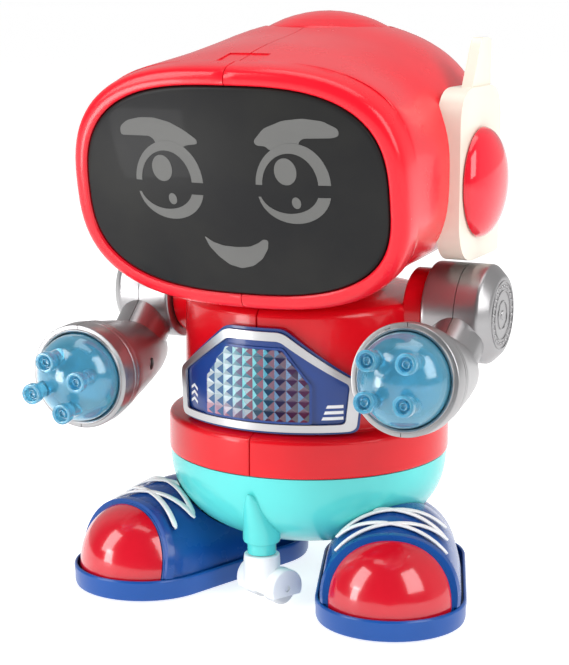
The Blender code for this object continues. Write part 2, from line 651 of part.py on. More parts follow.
def build_arm(root, side_name, side):
    frame = make_frame("arm_frame_" + side_name, (0, 0, SHOULDER_Z),
                       (math.radians(-ARM_PITCH[side_name]), 0, 0), root)
    link_tool = place_tool("arm_link_" + side_name, link_solid("arm_link", side, 0), frame)
    hollow = place_tool("arm_hollow_" + side_name,
                        drum_solid("arm_hollow", side, -WALL), frame)
    combine(hollow, place_tool("arm_link_hollow_" + side_name,
                               link_solid("arm_link_hollow", side, -WALL), frame), "UNION")
    combine(hollow, place_tool("forearm_hollow_" + side_name,
                               forearm_solid("forearm_hollow", side, -WALL, 0.06), frame),
            "UNION")
    forearm = place_tool("forearm_" + side_name,
                         forearm_solid("forearm", side, 0, FOREARM_FRONT), frame)
    axle_hole = place_tool("axle_hole_" + side_name, rod_mesh(
        "axle_hole", AXLE_RADIUS + GAP, (side * 0.03, 0, 0), (side * 0.05, 0, 0)), frame)
    screw_place = (-0.0330, -FOREARM_DROP)
    for half, cut_side in (("outer", -side), ("inner", side)):
        shell = place("arm_shell_%s_%s" % (half, side_name),
                      drum_solid("arm_shell", side, 0), frame, (SILVER, 0.3, 0.8))
        combine(shell, link_tool, "UNION")
        combine(shell, forearm, "UNION")
        combine(shell, hollow, "DIFFERENCE")
        limit = side * ARM_MIDDLE - cut_side * GAP / 2
        combine(shell, half_space("arm_seam_%s_%s" % (half, side_name), frame, 0, cut_side,
                                  limit), "DIFFERENCE")
        if half == "inner":
            combine(shell, axle_hole, "DIFFERENCE")
            hole = rod_mesh("arm_screw_hole", 0.0020,
                            (side * 0.035, screw_place[0], screw_place[1]),
                            (side * 0.052, screw_place[0], screw_place[1]), 16)
            combine(shell, place_tool("arm_screw_hole_" + side_name, hole, frame), "DIFFERENCE")
    build_muzzle(frame, side_name, side)
    led = ((0, 0.0050), (0.0014, 0.0046), (0.0025, 0.0026), (0.0025, -0.0030),
           (0.0100, -0.0030), (0.0100, -0.0044), (0, -0.0044))
    mesh = turned_mesh("arm_led", led, "-Y")
    place("arm_led_" + side_name, moved(mesh, (side * ARM_MIDDLE, -0.0520, -FOREARM_DROP)),
          frame, (CLEAR, 0.2))
    axle = ((0, 0.0550), (0.0065, 0.0550), (0.0065, 0.0532), (AXLE_RADIUS, 0.0528),
            (AXLE_RADIUS, 0.0388), (0, 0.0388))
    place("shoulder_axle_" + side_name, turned_mesh("shoulder_axle", axle,
                                                    "X" if side > 0 else "-X"),
          frame, (STEEL, 0.3, 0.9))
    screw = ((0, 0.0010), (0.0016, 0.0010), (0.0016, -0.0008), (0.0010, -0.0008),
             (0.0010, -0.0080), (0, -0.0080))
    mesh = turned_mesh("arm_screw", screw, "-X" if side > 0 else "X", 14)
    place("arm_screw_" + side_name,
          moved(mesh, (side * 0.0452, screw_place[0], screw_place[1])), frame,
          (STEEL, 0.3, 1.0))
    return frame


def build_muzzle(arm_frame, side_name, side):
    frame = make_frame("muzzle_frame_" + side_name,
                       (side * ARM_MIDDLE, -FOREARM_FRONT, -FOREARM_DROP),
                       (0, math.radians(BARREL_ROLL[side_name]), 0), arm_frame)
    skirt = -0.0022
    outer, inner = [], []
    for degrees in (90, 66, 44, 22, 0):
        angle = math.radians(degrees)
        outer.append((DOME_RADIUS * math.cos(angle), DOME_HEIGHT * math.sin(angle)))
        inner.append(((DOME_RADIUS - 0.0016) * math.cos(angle),
                      (DOME_HEIGHT - 0.0016) * math.sin(angle)))
    outer[0], inner[0] = (0, DOME_HEIGHT), (0, DOME_HEIGHT - 0.0016)
    profile = outer + [(DOME_RADIUS, skirt), (DOME_RADIUS - 0.0016, skirt)]
    profile += list(reversed(inner))
    dome = place("muzzle_dome_" + side_name, turned_mesh("muzzle_dome", profile, "-Y", 18),
                 frame, (CLEAR_BLUE, 0.08))
    barrel = ((0, BARREL_TIP - 0.0030), (0.0016, BARREL_TIP - 0.0030), (0.0016, BARREL_TIP),
              (BARREL_TIP_RADIUS, BARREL_TIP), (BARREL_TIP_RADIUS, BARREL_TIP - 0.0024),
              (BARREL_RADIUS, BARREL_TIP - 0.0030), (BARREL_RADIUS, 0.0075), (0, 0.0075))
    for i in range(4):
        across = BARREL_SPACING / 2 * (1 if i % 2 else -1)
        up = BARREL_SPACING / 2 * (1 if i < 2 else -1)
        mesh = turned_mesh("barrel", barrel, "-Y", 8)
        combine(dome, place_tool("barrel_%s_%d" % (side_name, i), moved(mesh, (across, 0, up)),
                                 frame), "UNION")


# ---------------------------------------------------------------- shoes

def upper_section(along):
    """Half width and height above the sole of the shoe's form at a place along it."""
    end = FOOT_HALF_LENGTH - FOOT_HALF_WIDTH
    radius = FOOT_HALF_WIDTH - UPPER_INSET
    past = max(abs(along) - end, 0) / radius
    half_width = radius * math.sqrt(max(1 - past ** 2, 0)) * (1 - 2.5 * max(along, 0))
    if along < CROWN_PLACE:
        reach = (CROWN_PLACE - along) / (CROWN_PLACE + end + radius)
        return half_width, 0.0210 * max(1 - reach ** 2.2, 0) ** (1 / 2.2)
    reach = (along - CROWN_PLACE) / (end + radius - CROWN_PLACE)
    height = 0.0210 + 0.0045 * math.sin(math.pi * min(reach * 1.7, 1.0))
    return half_width, height * math.sqrt(max(1 - reach ** 6, 0))


def arch_point(along, inset, base, degrees):
    """A point of the shoe's rounded section, at an angle from its outer edge."""
    half_width, height = upper_section(along)
    half_width, height = max(half_width - inset, 0.0004), max(height - inset, 0.0004)
    c, s = math.cos(math.radians(degrees)), math.sin(math.radians(degrees))
    across = math.copysign(abs(c) ** (2 / 2.15), c) * half_width
    return across, along, base + abs(s) ** (2 / 2.15) * (SOLE_TOP + height - base)


def arch_loop(along, inset, base):
    """An upside-down U across the shoe, closed by its flat base."""
    return [arch_point(along, inset, base, 180 * i / ARCH_STEPS) for i in range(ARCH_STEPS + 1)]


def shoe_solid(name, places, inset, base=SOLE_TOP - 0.0022):
    return loft_mesh(name, [arch_loop(along, inset, base) for along in places])


def cap_slab(name, start, end):
    """A block between two planes that lean back like the back of the toe cap."""
    length = end - start
    mesh = box_mesh(name, (0.06, length, 0.10), (0, start + length / 2, 0))
    mesh.transform(Matrix.Translation((0, CAP_BASE, SOLE_TOP))
                   @ Matrix.Rotation(-CAP_LEAN, 4, "X"))
    return mesh


def stadium(half_length, half_width, steps=9):
    """Stadium outline along Y."""
    end = half_length - half_width
    return (corner_points((0, end), half_width, 0, 180, steps)
            + corner_points((0, -end), half_width, 180, 360, steps))


def flat_slab(name, outline, bottom, top):
    bm = bmesh.new()
    face = bm.faces.new([bm.verts.new((x, y, bottom)) for x, y in outline])
    pushed = bmesh.ops.extrude_face_region(bm, geom=[face])
    verts = [item for item in pushed["geom"] if isinstance(item, bmesh.types.BMVert)]
    bmesh.ops.translate(bm, vec=(0, 0, top - bottom), verts=verts)
    bmesh.ops.recalc_face_normals(bm, faces=bm.faces)
    return finish_mesh(name, bm)


def spread(start, end, steps):
    return [start + (end - start) * i / steps for i in range(steps + 1)]


def round_places(start, end, steps):
    """Places that crowd together towards the start, where the shape closes."""
    return [end + (start - end) * math.cos(math.radians(90 * i / steps))
            for i in range(steps + 1)]


def build_shoe(root, side_name, side):
    frame = make_frame("foot_frame_" + side_name,
                       (side * FOOT_CENTRE[0], FOOT_CENTRE[1], 0),
                       (0, 0, side * FOOT_SPLAY), root)
    bowl_form = turned_mesh("bowl_form", [(0, 0.09), (BELT_RADIUS + GAP, 0.09),
                                          (BELT_RADIUS + GAP, BELT_BOTTOM - GAP)]
                            + [(r + GAP, z - GAP) for r, z in bowl_profile(0)[:-1]]
                            + [(0, BOWL_BOTTOM - 2 * GAP)], segments=ROUND)
    bowl_tool = place_tool("bowl_form_" + side_name, bowl_form, root)
    build_upper(frame, side_name, bowl_tool)
    build_cap(frame, side_name)
    sole = place("shoe_sole_" + side_name,
                 flat_slab("shoe_sole", stadium(FOOT_HALF_LENGTH, FOOT_HALF_WIDTH),
                           SOLE_BOTTOM, SOLE_TOP), frame, (BLUE, 0.45))
    tray = flat_slab("sole_tray", stadium(FOOT_HALF_LENGTH - UPPER_INSET + 2 * GAP,
                                          FOOT_HALF_WIDTH - UPPER_INSET + 2 * GAP),
                     SOLE_FLOOR, SOLE_TOP + 0.01)
    combine(sole, place_tool("sole_tray_" + side_name, tray, frame), "DIFFERENCE")
    slot = box_mesh("wheel_slot", (0.0104, 0.0190, 0.02), (side * 0.0017, WHEEL_PLACE[0], 0))
    combine(sole, place_tool("wheel_slot_" + side_name, slot, frame), "DIFFERENCE")
    build_laces(frame, side_name, bowl_tool)
    build_drive(frame, side_name, side)


def build_upper(frame, side_name, bowl_tool):
    """The shoe's shell behind the toe cap, with the raised arch round the cap."""
    tip = FOOT_HALF_LENGTH - UPPER_INSET - 0.0002
    front = [-tip] + spread(-0.0400, CROWN_PLACE, 3)
    back = spread(-0.0150, 0.0200, 4) + list(reversed(round_places(tip, 0.0300, 3)))
    upper = place("shoe_upper_" + side_name, shoe_solid("shoe_upper", front + back, 0), frame,
                  (BLUE, 0.35))
    combine(upper, place_tool("cap_space_" + side_name, cap_slab("cap_space", -0.06, GAP),
                              frame), "DIFFERENCE")
    ridge = place_tool("ridge_" + side_name, shoe_solid(
        "ridge", [-tip] + spread(-0.0400, -0.0100, 6), -0.0011, SOLE_TOP + GAP), frame)
    combine(ridge, place_tool("ridge_slab_" + side_name, cap_slab(
        "ridge_slab", 2 * GAP, RIDGE_THICKNESS), frame), "INTERSECT")
    combine(upper, ridge, "UNION")
    hollow = moved(shoe_solid("upper_hollow", front + back[:-2] + [tip - 0.004], WALL),
                   (0, 0, -0.0006))
    combine(upper, place_tool("upper_hollow_" + side_name, hollow, frame), "DIFFERENCE")
    combine(upper, bowl_tool, "DIFFERENCE")


def build_cap(frame, side_name):
    """The red toe cap, a little lower than the shoe round it."""
    tip = FOOT_HALF_LENGTH - UPPER_INSET - 0.0002
    places = round_places(-tip, -0.0200, 8)
    cap = place("toe_cap_" + side_name, shoe_solid("toe_cap", places, 0.0005), frame,
                (LENS_RED, 0.12))
    combine(cap, place_tool("cap_back_" + side_name, cap_slab("cap_back", 0, 0.06), frame),
            "DIFFERENCE")
    hollow = moved(shoe_solid("cap_hollow", [p + 0.0012 for p in places], 0.0022),
                   (0, 0, -0.0006))
    combine(cap, place_tool("cap_hollow_" + side_name, hollow, frame), "DIFFERENCE")


def strand_mesh(name, points, radius):
    """A lace through points that run across the shoe."""
    bm = bmesh.new()
    rows = []
    for i, point in enumerate(points):
        ahead, behind = points[min(i + 1, len(points) - 1)], points[max(i - 1, 0)]
        along = (ahead - behind).normalized()
        side = along.cross(Vector((0, 0, 1))).normalized()
        up = side.cross(along)
        rows.append([bm.verts.new(point + radius * (math.cos(a) * side + math.sin(a) * up))
                     for a in (2 * math.pi * (k + 0.5) / 6 for k in range(6))])
    for near, far in zip(rows, rows[1:]):
        for k in range(6):
            bm.faces.new((near[k], near[(k + 1) % 6], far[(k + 1) % 6], far[k]))
    bm.faces.new(rows[0])
    bm.faces.new(rows[-1])
    bmesh.ops.recalc_face_normals(bm, faces=bm.faces)
    return finish_mesh(name, bm, smooth=65)


def build_laces(frame, side_name, bowl_tool):
    """Laces that lie crossed over the upper, behind the raised arch."""
    laces = None
    for start, end, first, last in LACE_ROWS:
        for low, high in ((first, last), (last, first)):
            points = []
            for i in range(9):
                along = low + (high - low) * i / 8
                points.append(Vector(arch_point(along, -LACE_RADIUS - GAP, SOLE_TOP,
                                                start + (end - start) * i / 8)))
            strand = strand_mesh("lace", points, LACE_RADIUS)
            if laces is None:
                laces = place("shoe_laces_" + side_name, strand, frame, (WHITE, 0.5))
            else:
                number = len(laces.modifiers) + 2
                combine(laces, place_tool("lace_%s_%d" % (side_name, number), strand, frame),
                        "UNION")
    combine(laces, bowl_tool, "DIFFERENCE")


# ---------------------------------------------------------------- gear drive

def gear_outline(teeth, centre, phase):
    """A gear with straight-sided teeth, one of them centred on the phase angle."""
    pitch_radius = GEAR_MODULE * teeth / 2
    tip, root = pitch_radius + 0.72 * GEAR_MODULE, pitch_radius - 1.05 * GEAR_MODULE
    pitch = 2 * math.pi / teeth
    outline = []
    for tooth in range(teeth):
        middle = phase + tooth * pitch
        for radius, offset in ((root, -0.27), (tip, -0.10), (tip, 0.10), (root, 0.27)):
            angle = middle + offset * pitch
            outline.append((centre[0] + radius * math.cos(angle),
                            centre[1] + radius * math.sin(angle)))
    return outline


def gear_mesh(name, teeth, centre, phase, side, start, end):
    outline = gear_outline(teeth, centre, phase)
    return prism_mesh(name, outline, "X", *sorted((side * start, side * end)))


def cross_rod(name, radius, centre, side, start, end):
    return rod_mesh(name, radius, (side * start, *centre), (side * end, *centre), 8)


def drive_places():
    """Centres of the wheel, idler and pinion along and above the shoe."""
    wheel = WHEEL_PLACE
    reach = GEAR_MODULE * (WHEEL_TEETH + SMALL_TEETH) / 2
    idler = (wheel[0] - math.sqrt(reach ** 2 - IDLER_RISE ** 2), wheel[1] + IDLER_RISE)
    reach = GEAR_MODULE * (IDLER_TEETH + SMALL_TEETH) / 2
    pinion = (idler[0] - math.sqrt(reach ** 2 - PINION_RISE ** 2), idler[1] + PINION_RISE)
    return wheel, idler, pinion


def heading(start, end):
    return math.atan2(end[1] - start[1], end[0] - start[0])


def build_drive(frame, side_name, side):
    wheel, idler, pinion = drive_places()
    wheel_frame = make_frame("wheel_frame_" + side_name, (0, wheel[0], wheel[1]), parent=frame)
    tyre = ((0, 0.0028), (0.0040, 0.0028), (0.0082, 0.0024), (WHEEL_RADIUS, 0.0016),
            (WHEEL_RADIUS, -0.0016), (0.0082, -0.0024), (0.0040, -0.0028), (0, -0.0028))
    drive_wheel = place("drive_wheel_" + side_name, turned_mesh("drive_wheel", tyre, "X", 20),
                        wheel_frame, (BLACK, 0.7))
    origin = (0, 0)
    gear = gear_mesh("wheel_gear", WHEEL_TEETH, origin, heading(wheel, idler), side, 0.0026,
                     0.0062)
    combine(drive_wheel, place_tool("wheel_gear_" + side_name, gear, wheel_frame), "UNION")
    axle = cross_rod("wheel_axle", 0.0012, origin, side, -0.0070, 0.0128)
    combine(drive_wheel, place_tool("wheel_axle_" + side_name, axle, wheel_frame), "UNION")

    idler_frame = make_frame("idler_frame_" + side_name, (0, idler[0], idler[1]), parent=frame)
    phase = heading(idler, pinion)
    big = gear_mesh("idler_gear", IDLER_TEETH, origin, phase, side, 0.0074, 0.0096)
    idler_gear = place("idler_gear_" + side_name, big, idler_frame, (NYLON, 0.5))
    phase = heading(idler, wheel) + math.pi / SMALL_TEETH
    small = gear_mesh("idler_pinion", SMALL_TEETH, origin, phase, side, 0.0032, 0.0076)
    combine(idler_gear, place_tool("idler_pinion_" + side_name, small, idler_frame), "UNION")
    pin = cross_rod("idler_pin", 0.0010, origin, side, 0.0020, 0.0128)
    combine(idler_gear, place_tool("idler_pin_" + side_name, pin, idler_frame), "UNION")

    pinion_frame = make_frame("pinion_frame_" + side_name, (0, pinion[0], pinion[1]),
                              parent=frame)
    phase = heading(pinion, idler) + math.pi / SMALL_TEETH
    motor_pinion = place("motor_pinion_" + side_name,
                         gear_mesh("motor_pinion", SMALL_TEETH, origin, phase, side, 0.0074,
                                   0.0104), pinion_frame, (STEEL, 0.4, 0.8))
    shaft = cross_rod("motor_shaft", 0.0008, origin, side, 0.0060, 0.0112)
    combine(motor_pinion, place_tool("motor_shaft_" + side_name, shaft, pinion_frame), "UNION")

    length, width, height = MOTOR_SIZE
    motor = rod_mesh("drive_motor", width / 2, (side * (0.0057 - length), pinion[0], pinion[1]),
                     (side * 0.0057, pinion[0], pinion[1]), 24)
    drive_motor = place("drive_motor_" + side_name, motor, frame, (STEEL, 0.3, 1.0))
    flats = box_mesh("motor_flats", (0.05, 0.05, height), (0, pinion[0], pinion[1]))
    combine(drive_motor, place_tool("motor_flats_" + side_name, flats, frame), "INTERSECT")

    plate = box_mesh("drive_frame", (0.0012, 0.0330, 0.0150),
                     (side * 0.0120, 0.0005, 0.0120))
    drive_frame = place("drive_frame_" + side_name, plate, frame, (NYLON, 0.5))
    for label, centre, radius in (("wheel", wheel, 0.0013), ("idler", idler, 0.0011)):
        hole = cross_rod(label + "_bearing", radius, centre, side, 0.010, 0.014)
        combine(drive_frame, place_tool("%s_bearing_%s" % (label, side_name), hole, frame),
                "DIFFERENCE")


# ---------------------------------------------------------------- caster

def build_caster(root):
    frame = make_frame("caster_frame", (0, CASTER_Y, 0), (0, 0, CASTER_TURN), root)
    half = ROLLER_WIDTH + 0.0036
    stem = ((0, CASTER_STEM_TOP), (0.0029, CASTER_STEM_TOP), (0.0029, CASTER_TOP),
            (0.0058, CASTER_TOP), (0.0060, 0.0140), (0.0060, 0.0050), (0, 0.0050))
    hood = place("caster_hood", turned_mesh("caster_hood", stem), frame, (WHITE, 0.35))
    lobes = rod_mesh("caster_lobes", 0.0062, (-half, CASTER_TRAIL, 0.0060),
                     (half, CASTER_TRAIL, 0.0060))
    combine(hood, place_tool("caster_lobes", lobes, frame), "UNION")
    pocket = rod_mesh("caster_pocket", ROLLER_RADIUS + 0.0004,
                      (-half + 0.0010, CASTER_TRAIL, ROLLER_RADIUS),
                      (half - 0.0010, CASTER_TRAIL, ROLLER_RADIUS))
    combine(hood, place_tool("caster_pocket", pocket, frame), "DIFFERENCE")
    below = box_mesh("caster_below", (0.04, 0.04, 0.02), (0, 0, 0.0034 - 0.01))
    combine(hood, place_tool("caster_below", below, frame), "DIFFERENCE")
    roller_frame = make_frame("roller_frame", (0, CASTER_TRAIL, ROLLER_RADIUS), parent=frame)
    end = half - 0.0013
    roller = ((0, end), (0.0036, end), (ROLLER_RADIUS, end - 0.0010), (ROLLER_RADIUS, 0.0024),
              (0.0036, 0.0014), (0.0036, -0.0014), (ROLLER_RADIUS, -0.0024),
              (ROLLER_RADIUS, -end + 0.0010), (0.0036, -end), (0, -end))
    place("caster_rollers", turned_mesh("caster_rollers", roller, "X"), roller_frame,
          (NYLON, 0.6))


# ---------------------------------------------------------------- whole robot

clear_scene()
parts = make_collection("toy_robot")
tools = make_collection("cutters")
robot = make_frame("robot", (0, BODY_AXIS_Y, 0))
build_torso(robot)
build_inside(robot)
build_head(robot)
for each_name, each_side in SIDES.items():
    build_arm(robot, each_name, each_side)
    build_shoe(robot, each_name, each_side)
build_caster(robot)
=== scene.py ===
import json
import math

import bmesh
import bpy
from mathutils import Matrix, Vector


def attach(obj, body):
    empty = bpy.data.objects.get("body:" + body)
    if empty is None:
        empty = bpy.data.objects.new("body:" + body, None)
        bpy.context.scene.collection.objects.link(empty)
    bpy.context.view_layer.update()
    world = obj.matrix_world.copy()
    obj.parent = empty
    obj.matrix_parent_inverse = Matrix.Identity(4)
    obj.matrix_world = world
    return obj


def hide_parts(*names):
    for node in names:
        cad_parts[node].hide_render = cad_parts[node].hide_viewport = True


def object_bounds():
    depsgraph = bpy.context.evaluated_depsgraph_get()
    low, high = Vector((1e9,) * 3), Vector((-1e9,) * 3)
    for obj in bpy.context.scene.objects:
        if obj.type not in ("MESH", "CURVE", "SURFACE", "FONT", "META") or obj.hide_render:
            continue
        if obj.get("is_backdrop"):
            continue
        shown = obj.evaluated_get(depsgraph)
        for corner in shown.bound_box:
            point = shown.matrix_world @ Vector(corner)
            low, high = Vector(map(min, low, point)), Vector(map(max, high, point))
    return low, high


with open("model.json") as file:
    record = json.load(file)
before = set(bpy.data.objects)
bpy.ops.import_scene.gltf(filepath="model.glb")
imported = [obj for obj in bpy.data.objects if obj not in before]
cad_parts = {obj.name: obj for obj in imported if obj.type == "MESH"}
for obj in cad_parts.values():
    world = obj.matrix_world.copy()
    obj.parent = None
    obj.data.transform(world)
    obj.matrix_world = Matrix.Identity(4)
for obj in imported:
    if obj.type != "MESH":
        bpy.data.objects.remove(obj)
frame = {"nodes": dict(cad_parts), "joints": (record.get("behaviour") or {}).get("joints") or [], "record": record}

CAD_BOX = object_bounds()
JOINTS = {joint["name"]: joint for joint in frame["joints"]}
AXIS_Y = JOINTS["head_turn"]["pos_m"][1]
SIDES = {"left": 1, "right": -1}
BODY = Matrix.Translation((0, AXIS_Y, 0))
WALL = 0.0018
GAP = 0.0003


# ---------------------------------------------------------------- materials

def material(name, colour, roughness=0.25, metallic=0.0, coat=0.0, vary=0.04, rough_vary=0.05,
             grain=0.0, grain_scale=1500.0, second=None, **sockets):
    """A Principled material with a slow colour variation, uneven gloss and a fine moulded skin."""
    made = bpy.data.materials.new(name)
    made.use_nodes = True
    tree = made.node_tree
    shader = tree.nodes["Principled BSDF"]
    place = tree.nodes.new("ShaderNodeTexCoord")

    def noise(scale, detail=3.0):
        node = tree.nodes.new("ShaderNodeTexNoise")
        node.inputs["Scale"].default_value = scale
        node.inputs["Detail"].default_value = detail
        tree.links.new(place.outputs["Object"], node.inputs["Vector"])
        return node.outputs["Fac"]

    ramp = tree.nodes.new("ShaderNodeValToRGB")
    low = [max(channel * (1 - vary), 0) for channel in colour]
    high = [min(channel * (1 + vary), 1) for channel in (second or colour)]
    ramp.color_ramp.elements[0].position = 0.35
    ramp.color_ramp.elements[0].color = (*low, 1)
    ramp.color_ramp.elements[1].position = 0.65
    ramp.color_ramp.elements[1].color = (*high, 1)
    tree.links.new(noise(38.0), ramp.inputs["Fac"])
    tree.links.new(ramp.outputs["Color"], shader.inputs["Base Color"])
    spread = tree.nodes.new("ShaderNodeMapRange")
    spread.inputs["To Min"].default_value = max(roughness - rough_vary, 0.02)
    spread.inputs["To Max"].default_value = roughness + rough_vary
    tree.links.new(noise(95.0, 4.0), spread.inputs["Value"])
    tree.links.new(spread.outputs["Result"], shader.inputs["Roughness"])
    if grain:
        bump = tree.nodes.new("ShaderNodeBump")
        bump.inputs["Strength"].default_value = grain
        bump.inputs["Distance"].default_value = 0.0002
        tree.links.new(noise(grain_scale, 2.0), bump.inputs["Height"])
        tree.links.new(bump.outputs["Normal"], shader.inputs["Normal"])
    shader.inputs["Metallic"].default_value = metallic
    shader.inputs["Coat Weight"].default_value = coat
    shader.inputs["Coat Roughness"].default_value = 0.06
    for socket, value in sockets.items():
        shader.inputs[socket.replace("_", " ")].default_value = value
    return made


LOOKS = {
    "head_red": material("head_red_gloss", (0.80, 0.008, 0.022), 0.26, coat=0.18, grain=0.03,
                         Specular_IOR_Level=0.32),
    "torso_red": material("torso_red_gloss", (0.72, 0.004, 0.012), 0.22, coat=0.22, grain=0.03,
                          Specular_IOR_Level=0.28),
    "face_panel": material("smoked_panel", (0.014, 0.014, 0.015), 0.40, coat=0.04,
                           second=(0.019, 0.019, 0.018), Specular_IOR_Level=0.13),
    "led_window": material("lit_window", (0.145, 0.145, 0.140), 0.5, vary=0.05,
                           grain=0.05, grain_scale=2600, Specular_IOR_Level=0.2),
    "ear_cream": material("cream_plastic", (0.86, 0.80, 0.68), 0.32, coat=0.10, grain=0.04),
    "ear_red": material("clear_red_dome", (0.82, 0.014, 0.034), 0.14, coat=0.5, vary=0.06,
                        Specular_IOR_Level=0.35),
    "badge_blue": material("badge_blue_gloss", (0.003, 0.040, 0.23), 0.22, coat=0.3,
                           Specular_IOR_Level=0.35),
    "badge_silver": material("badge_silver_foil", (0.50, 0.50, 0.51), 0.30, metallic=0.85,
                             grain=0.05, grain_scale=2400),
    "pelvis_turquoise": material("turquoise_gloss", (0.105, 0.68, 0.66), 0.24, coat=0.25,
                                 grain=0.03, Specular_IOR_Level=0.35),
    "black_plastic": material("black_plastic", (0.022, 0.022, 0.022), 0.5, grain=0.2,
                              grain_scale=3200),
    "battery_cell": material("battery_jacket", (0.030, 0.030, 0.032), 0.3, metallic=0.5,
                             second=(0.62, 0.34, 0.13)),
    "screw_steel": material("zinc_screw", (0.60, 0.60, 0.60), 0.28, metallic=1.0, grain=0.1,
                            grain_scale=4200),
    "caster_white": material("white_plastic", (0.88, 0.91, 0.93), 0.3, coat=0.25, grain=0.03),
    "roller_nylon": material("grey_nylon", (0.60, 0.62, 0.65), 0.5, grain=0.15),
    "arm_silver": material("satin_silver", (0.36, 0.355, 0.36), 0.31, metallic=0.82, vary=0.03,
                           grain=0.05, grain_scale=5200),
    "led_clear": material("led_lens", (0.82, 0.88, 0.92), 0.1, coat=0.6),
    "axle_steel": material("turned_steel", (0.55, 0.55, 0.55), 0.25, metallic=1.0, grain=0.08,
                           grain_scale=3600),
    "shoe_blue": material("royal_blue", (0.005, 0.070, 0.31), 0.27, coat=0.22, grain=0.04,
                          Specular_IOR_Level=0.3),
    "sole_blue": material("sole_blue", (0.006, 0.078, 0.34), 0.32, coat=0.15, grain=0.06,
                          Specular_IOR_Level=0.3),
    "toe_red": material("toe_red_gloss", (0.62, 0.006, 0.020), 0.20, coat=0.75,
                        Specular_IOR_Level=0.4),
    "lace_white": material("lace_white", (0.90, 0.92, 0.93), 0.38, grain=0.1,
                           grain_scale=2400),
    "motor_steel": material("motor_can", (0.60, 0.60, 0.61), 0.3, metallic=1.0),
    "pinion_steel": material("brass_pinion", (0.72, 0.52, 0.22), 0.3, metallic=1.0),
    "gear_nylon": material("natural_nylon", (0.78, 0.77, 0.72), 0.45, grain=0.06),
    "wheel_rubber": material("wheel_rubber", (0.024, 0.024, 0.025), 0.7, grain=0.3,
                             grain_scale=2600),
    "circuit_board": material("circuit_board", (0.02, 0.17, 0.07), 0.4, coat=0.3, vary=0.2),
    "muzzle_blue": material("clear_blue", (0.15, 0.56, 0.78), 0.10, vary=0.10, grain=0.35,
                            grain_scale=1300, Transmission_Weight=0.65, IOR=1.46,
                            Coat_Weight=0.8),
    "mark_white": material("printed_white", (0.86, 0.88, 0.90), 0.4),
}


def prism_material():
    """Clear prisms over the lit board, with painted shade and reflection in the colour: the way a facet leans
    gives its painted shade and reflection, its place whitens the left columns as a painted highlight, and the
    bottom rows are tinted pink.
    """
    made = material("chest_prisms", (0.5, 0.5, 0.5), 0.12, coat=0.8)
    tree = made.node_tree
    shader = tree.nodes["Principled BSDF"]
    place = tree.nodes["Texture Coordinate"]
    split = tree.nodes.new("ShaderNodeSeparateXYZ")
    tree.links.new(place.outputs["Normal"], split.inputs[0])
    where = tree.nodes.new("ShaderNodeSeparateXYZ")
    tree.links.new(place.outputs["Object"], where.inputs[0])

    def ramp(source, low, high, stops):
        spread = tree.nodes.new("ShaderNodeMapRange")
        spread.inputs["From Min"].default_value = low
        spread.inputs["From Max"].default_value = high
        tree.links.new(source, spread.inputs["Value"])
        colours = tree.nodes.new("ShaderNodeValToRGB")
        colours.color_ramp.interpolation = "LINEAR"
        band = colours.color_ramp
        for index, (position, colour) in enumerate(stops):
            stop = band.elements[index] if index < 2 else band.elements.new(position)
            stop.position = position
            stop.color = (*colour, 1)
        tree.links.new(spread.outputs["Result"], colours.inputs["Fac"])
        return colours.outputs["Color"]

    # Painted shade and reflection: each facet's colour is set by which way it leans, from light cyan through teal
    # to dark navy.
    painted_facet_shade = ramp(split.outputs["X"], -0.75, 0.75,
                  ((0.0, (0.34, 0.86, 0.86)), (1.0, (0.006, 0.018, 0.060)),
                   (0.30, (0.030, 0.34, 0.42)), (0.60, (0.012, 0.020, 0.070)),
                   (0.85, (0.20, 0.05, 0.10))))
    flat = ramp(split.outputs["Y"], -1.0, -0.9, ((0.0, (1, 1, 1)), (1.0, (0, 0, 0)),
                                                 (0.4, (1, 1, 1))))
    # Painted highlight: the left columns are whitened by their place.
    pale = ramp(where.outputs["X"], -0.0175, -0.0035,
                ((0.0, (0.9, 0.9, 0.9)), (1.0, (0, 0, 0)), (0.45, (0.6, 0.6, 0.6))))
    pink = ramp(where.outputs["Z"], 0.0640, 0.0690, ((0.0, (1, 1, 1)), (1.0, (0, 0, 0))))
    mix = tree.nodes.new("ShaderNodeMixRGB")
    tree.links.new(pale, mix.inputs["Fac"])
    tree.links.new(painted_facet_shade, mix.inputs["Color1"])
    mix.inputs["Color2"].default_value = (0.60, 0.63, 0.66, 1)
    rose = tree.nodes.new("ShaderNodeMixRGB")
    rose.blend_type = "MULTIPLY"
    tree.links.new(pink, rose.inputs["Fac"])
    tree.links.new(mix.outputs["Color"], rose.inputs["Color1"])
    rose.inputs["Color2"].default_value = (1.0, 0.42, 0.55, 1)
    edge = tree.nodes.new("ShaderNodeMixRGB")
    tree.links.new(flat, edge.inputs["Fac"])
    tree.links.new(rose.outputs["Color"], edge.inputs["Color1"])
    edge.inputs["Color2"].default_value = (0.010, 0.09, 0.24, 1)
    tree.links.new(edge.outputs["Color"], shader.inputs["Base Color"])
    return made


LOOKS["chest_clear"] = prism_material()


# ---------------------------------------------------------------- mesh tools

def skin(rows, wrap=True, close=False, cap=False):
    """A surface through rows of points. wrap closes each row, close joins the last row to the
    first, and cap fills the first and last row."""
    bm = bmesh.new()
    grid = [[bm.verts.new(point) for point in row] for row in rows]
    count = len(rows[0])
    for near, far in list(zip(grid, grid[1:])) + ([(grid[-1], grid[0])] if close else []):
        for i in range(count if wrap else count - 1):
            j = (i + 1) % count
            bm.faces.new((near[i], near[j], far[j], far[i]))
    if cap:
        bm.faces.new(grid[0])
        bm.faces.new(list(reversed(grid[-1])))
    return cleaned(bm)


def cleaned(bm):
    bmesh.ops.remove_doubles(bm, verts=bm.verts, dist=2e-6)
    bmesh.ops.dissolve_degenerate(bm, edges=bm.edges, dist=1e-7)
    bmesh.ops.recalc_face_normals(bm, faces=bm.faces)
    return bm


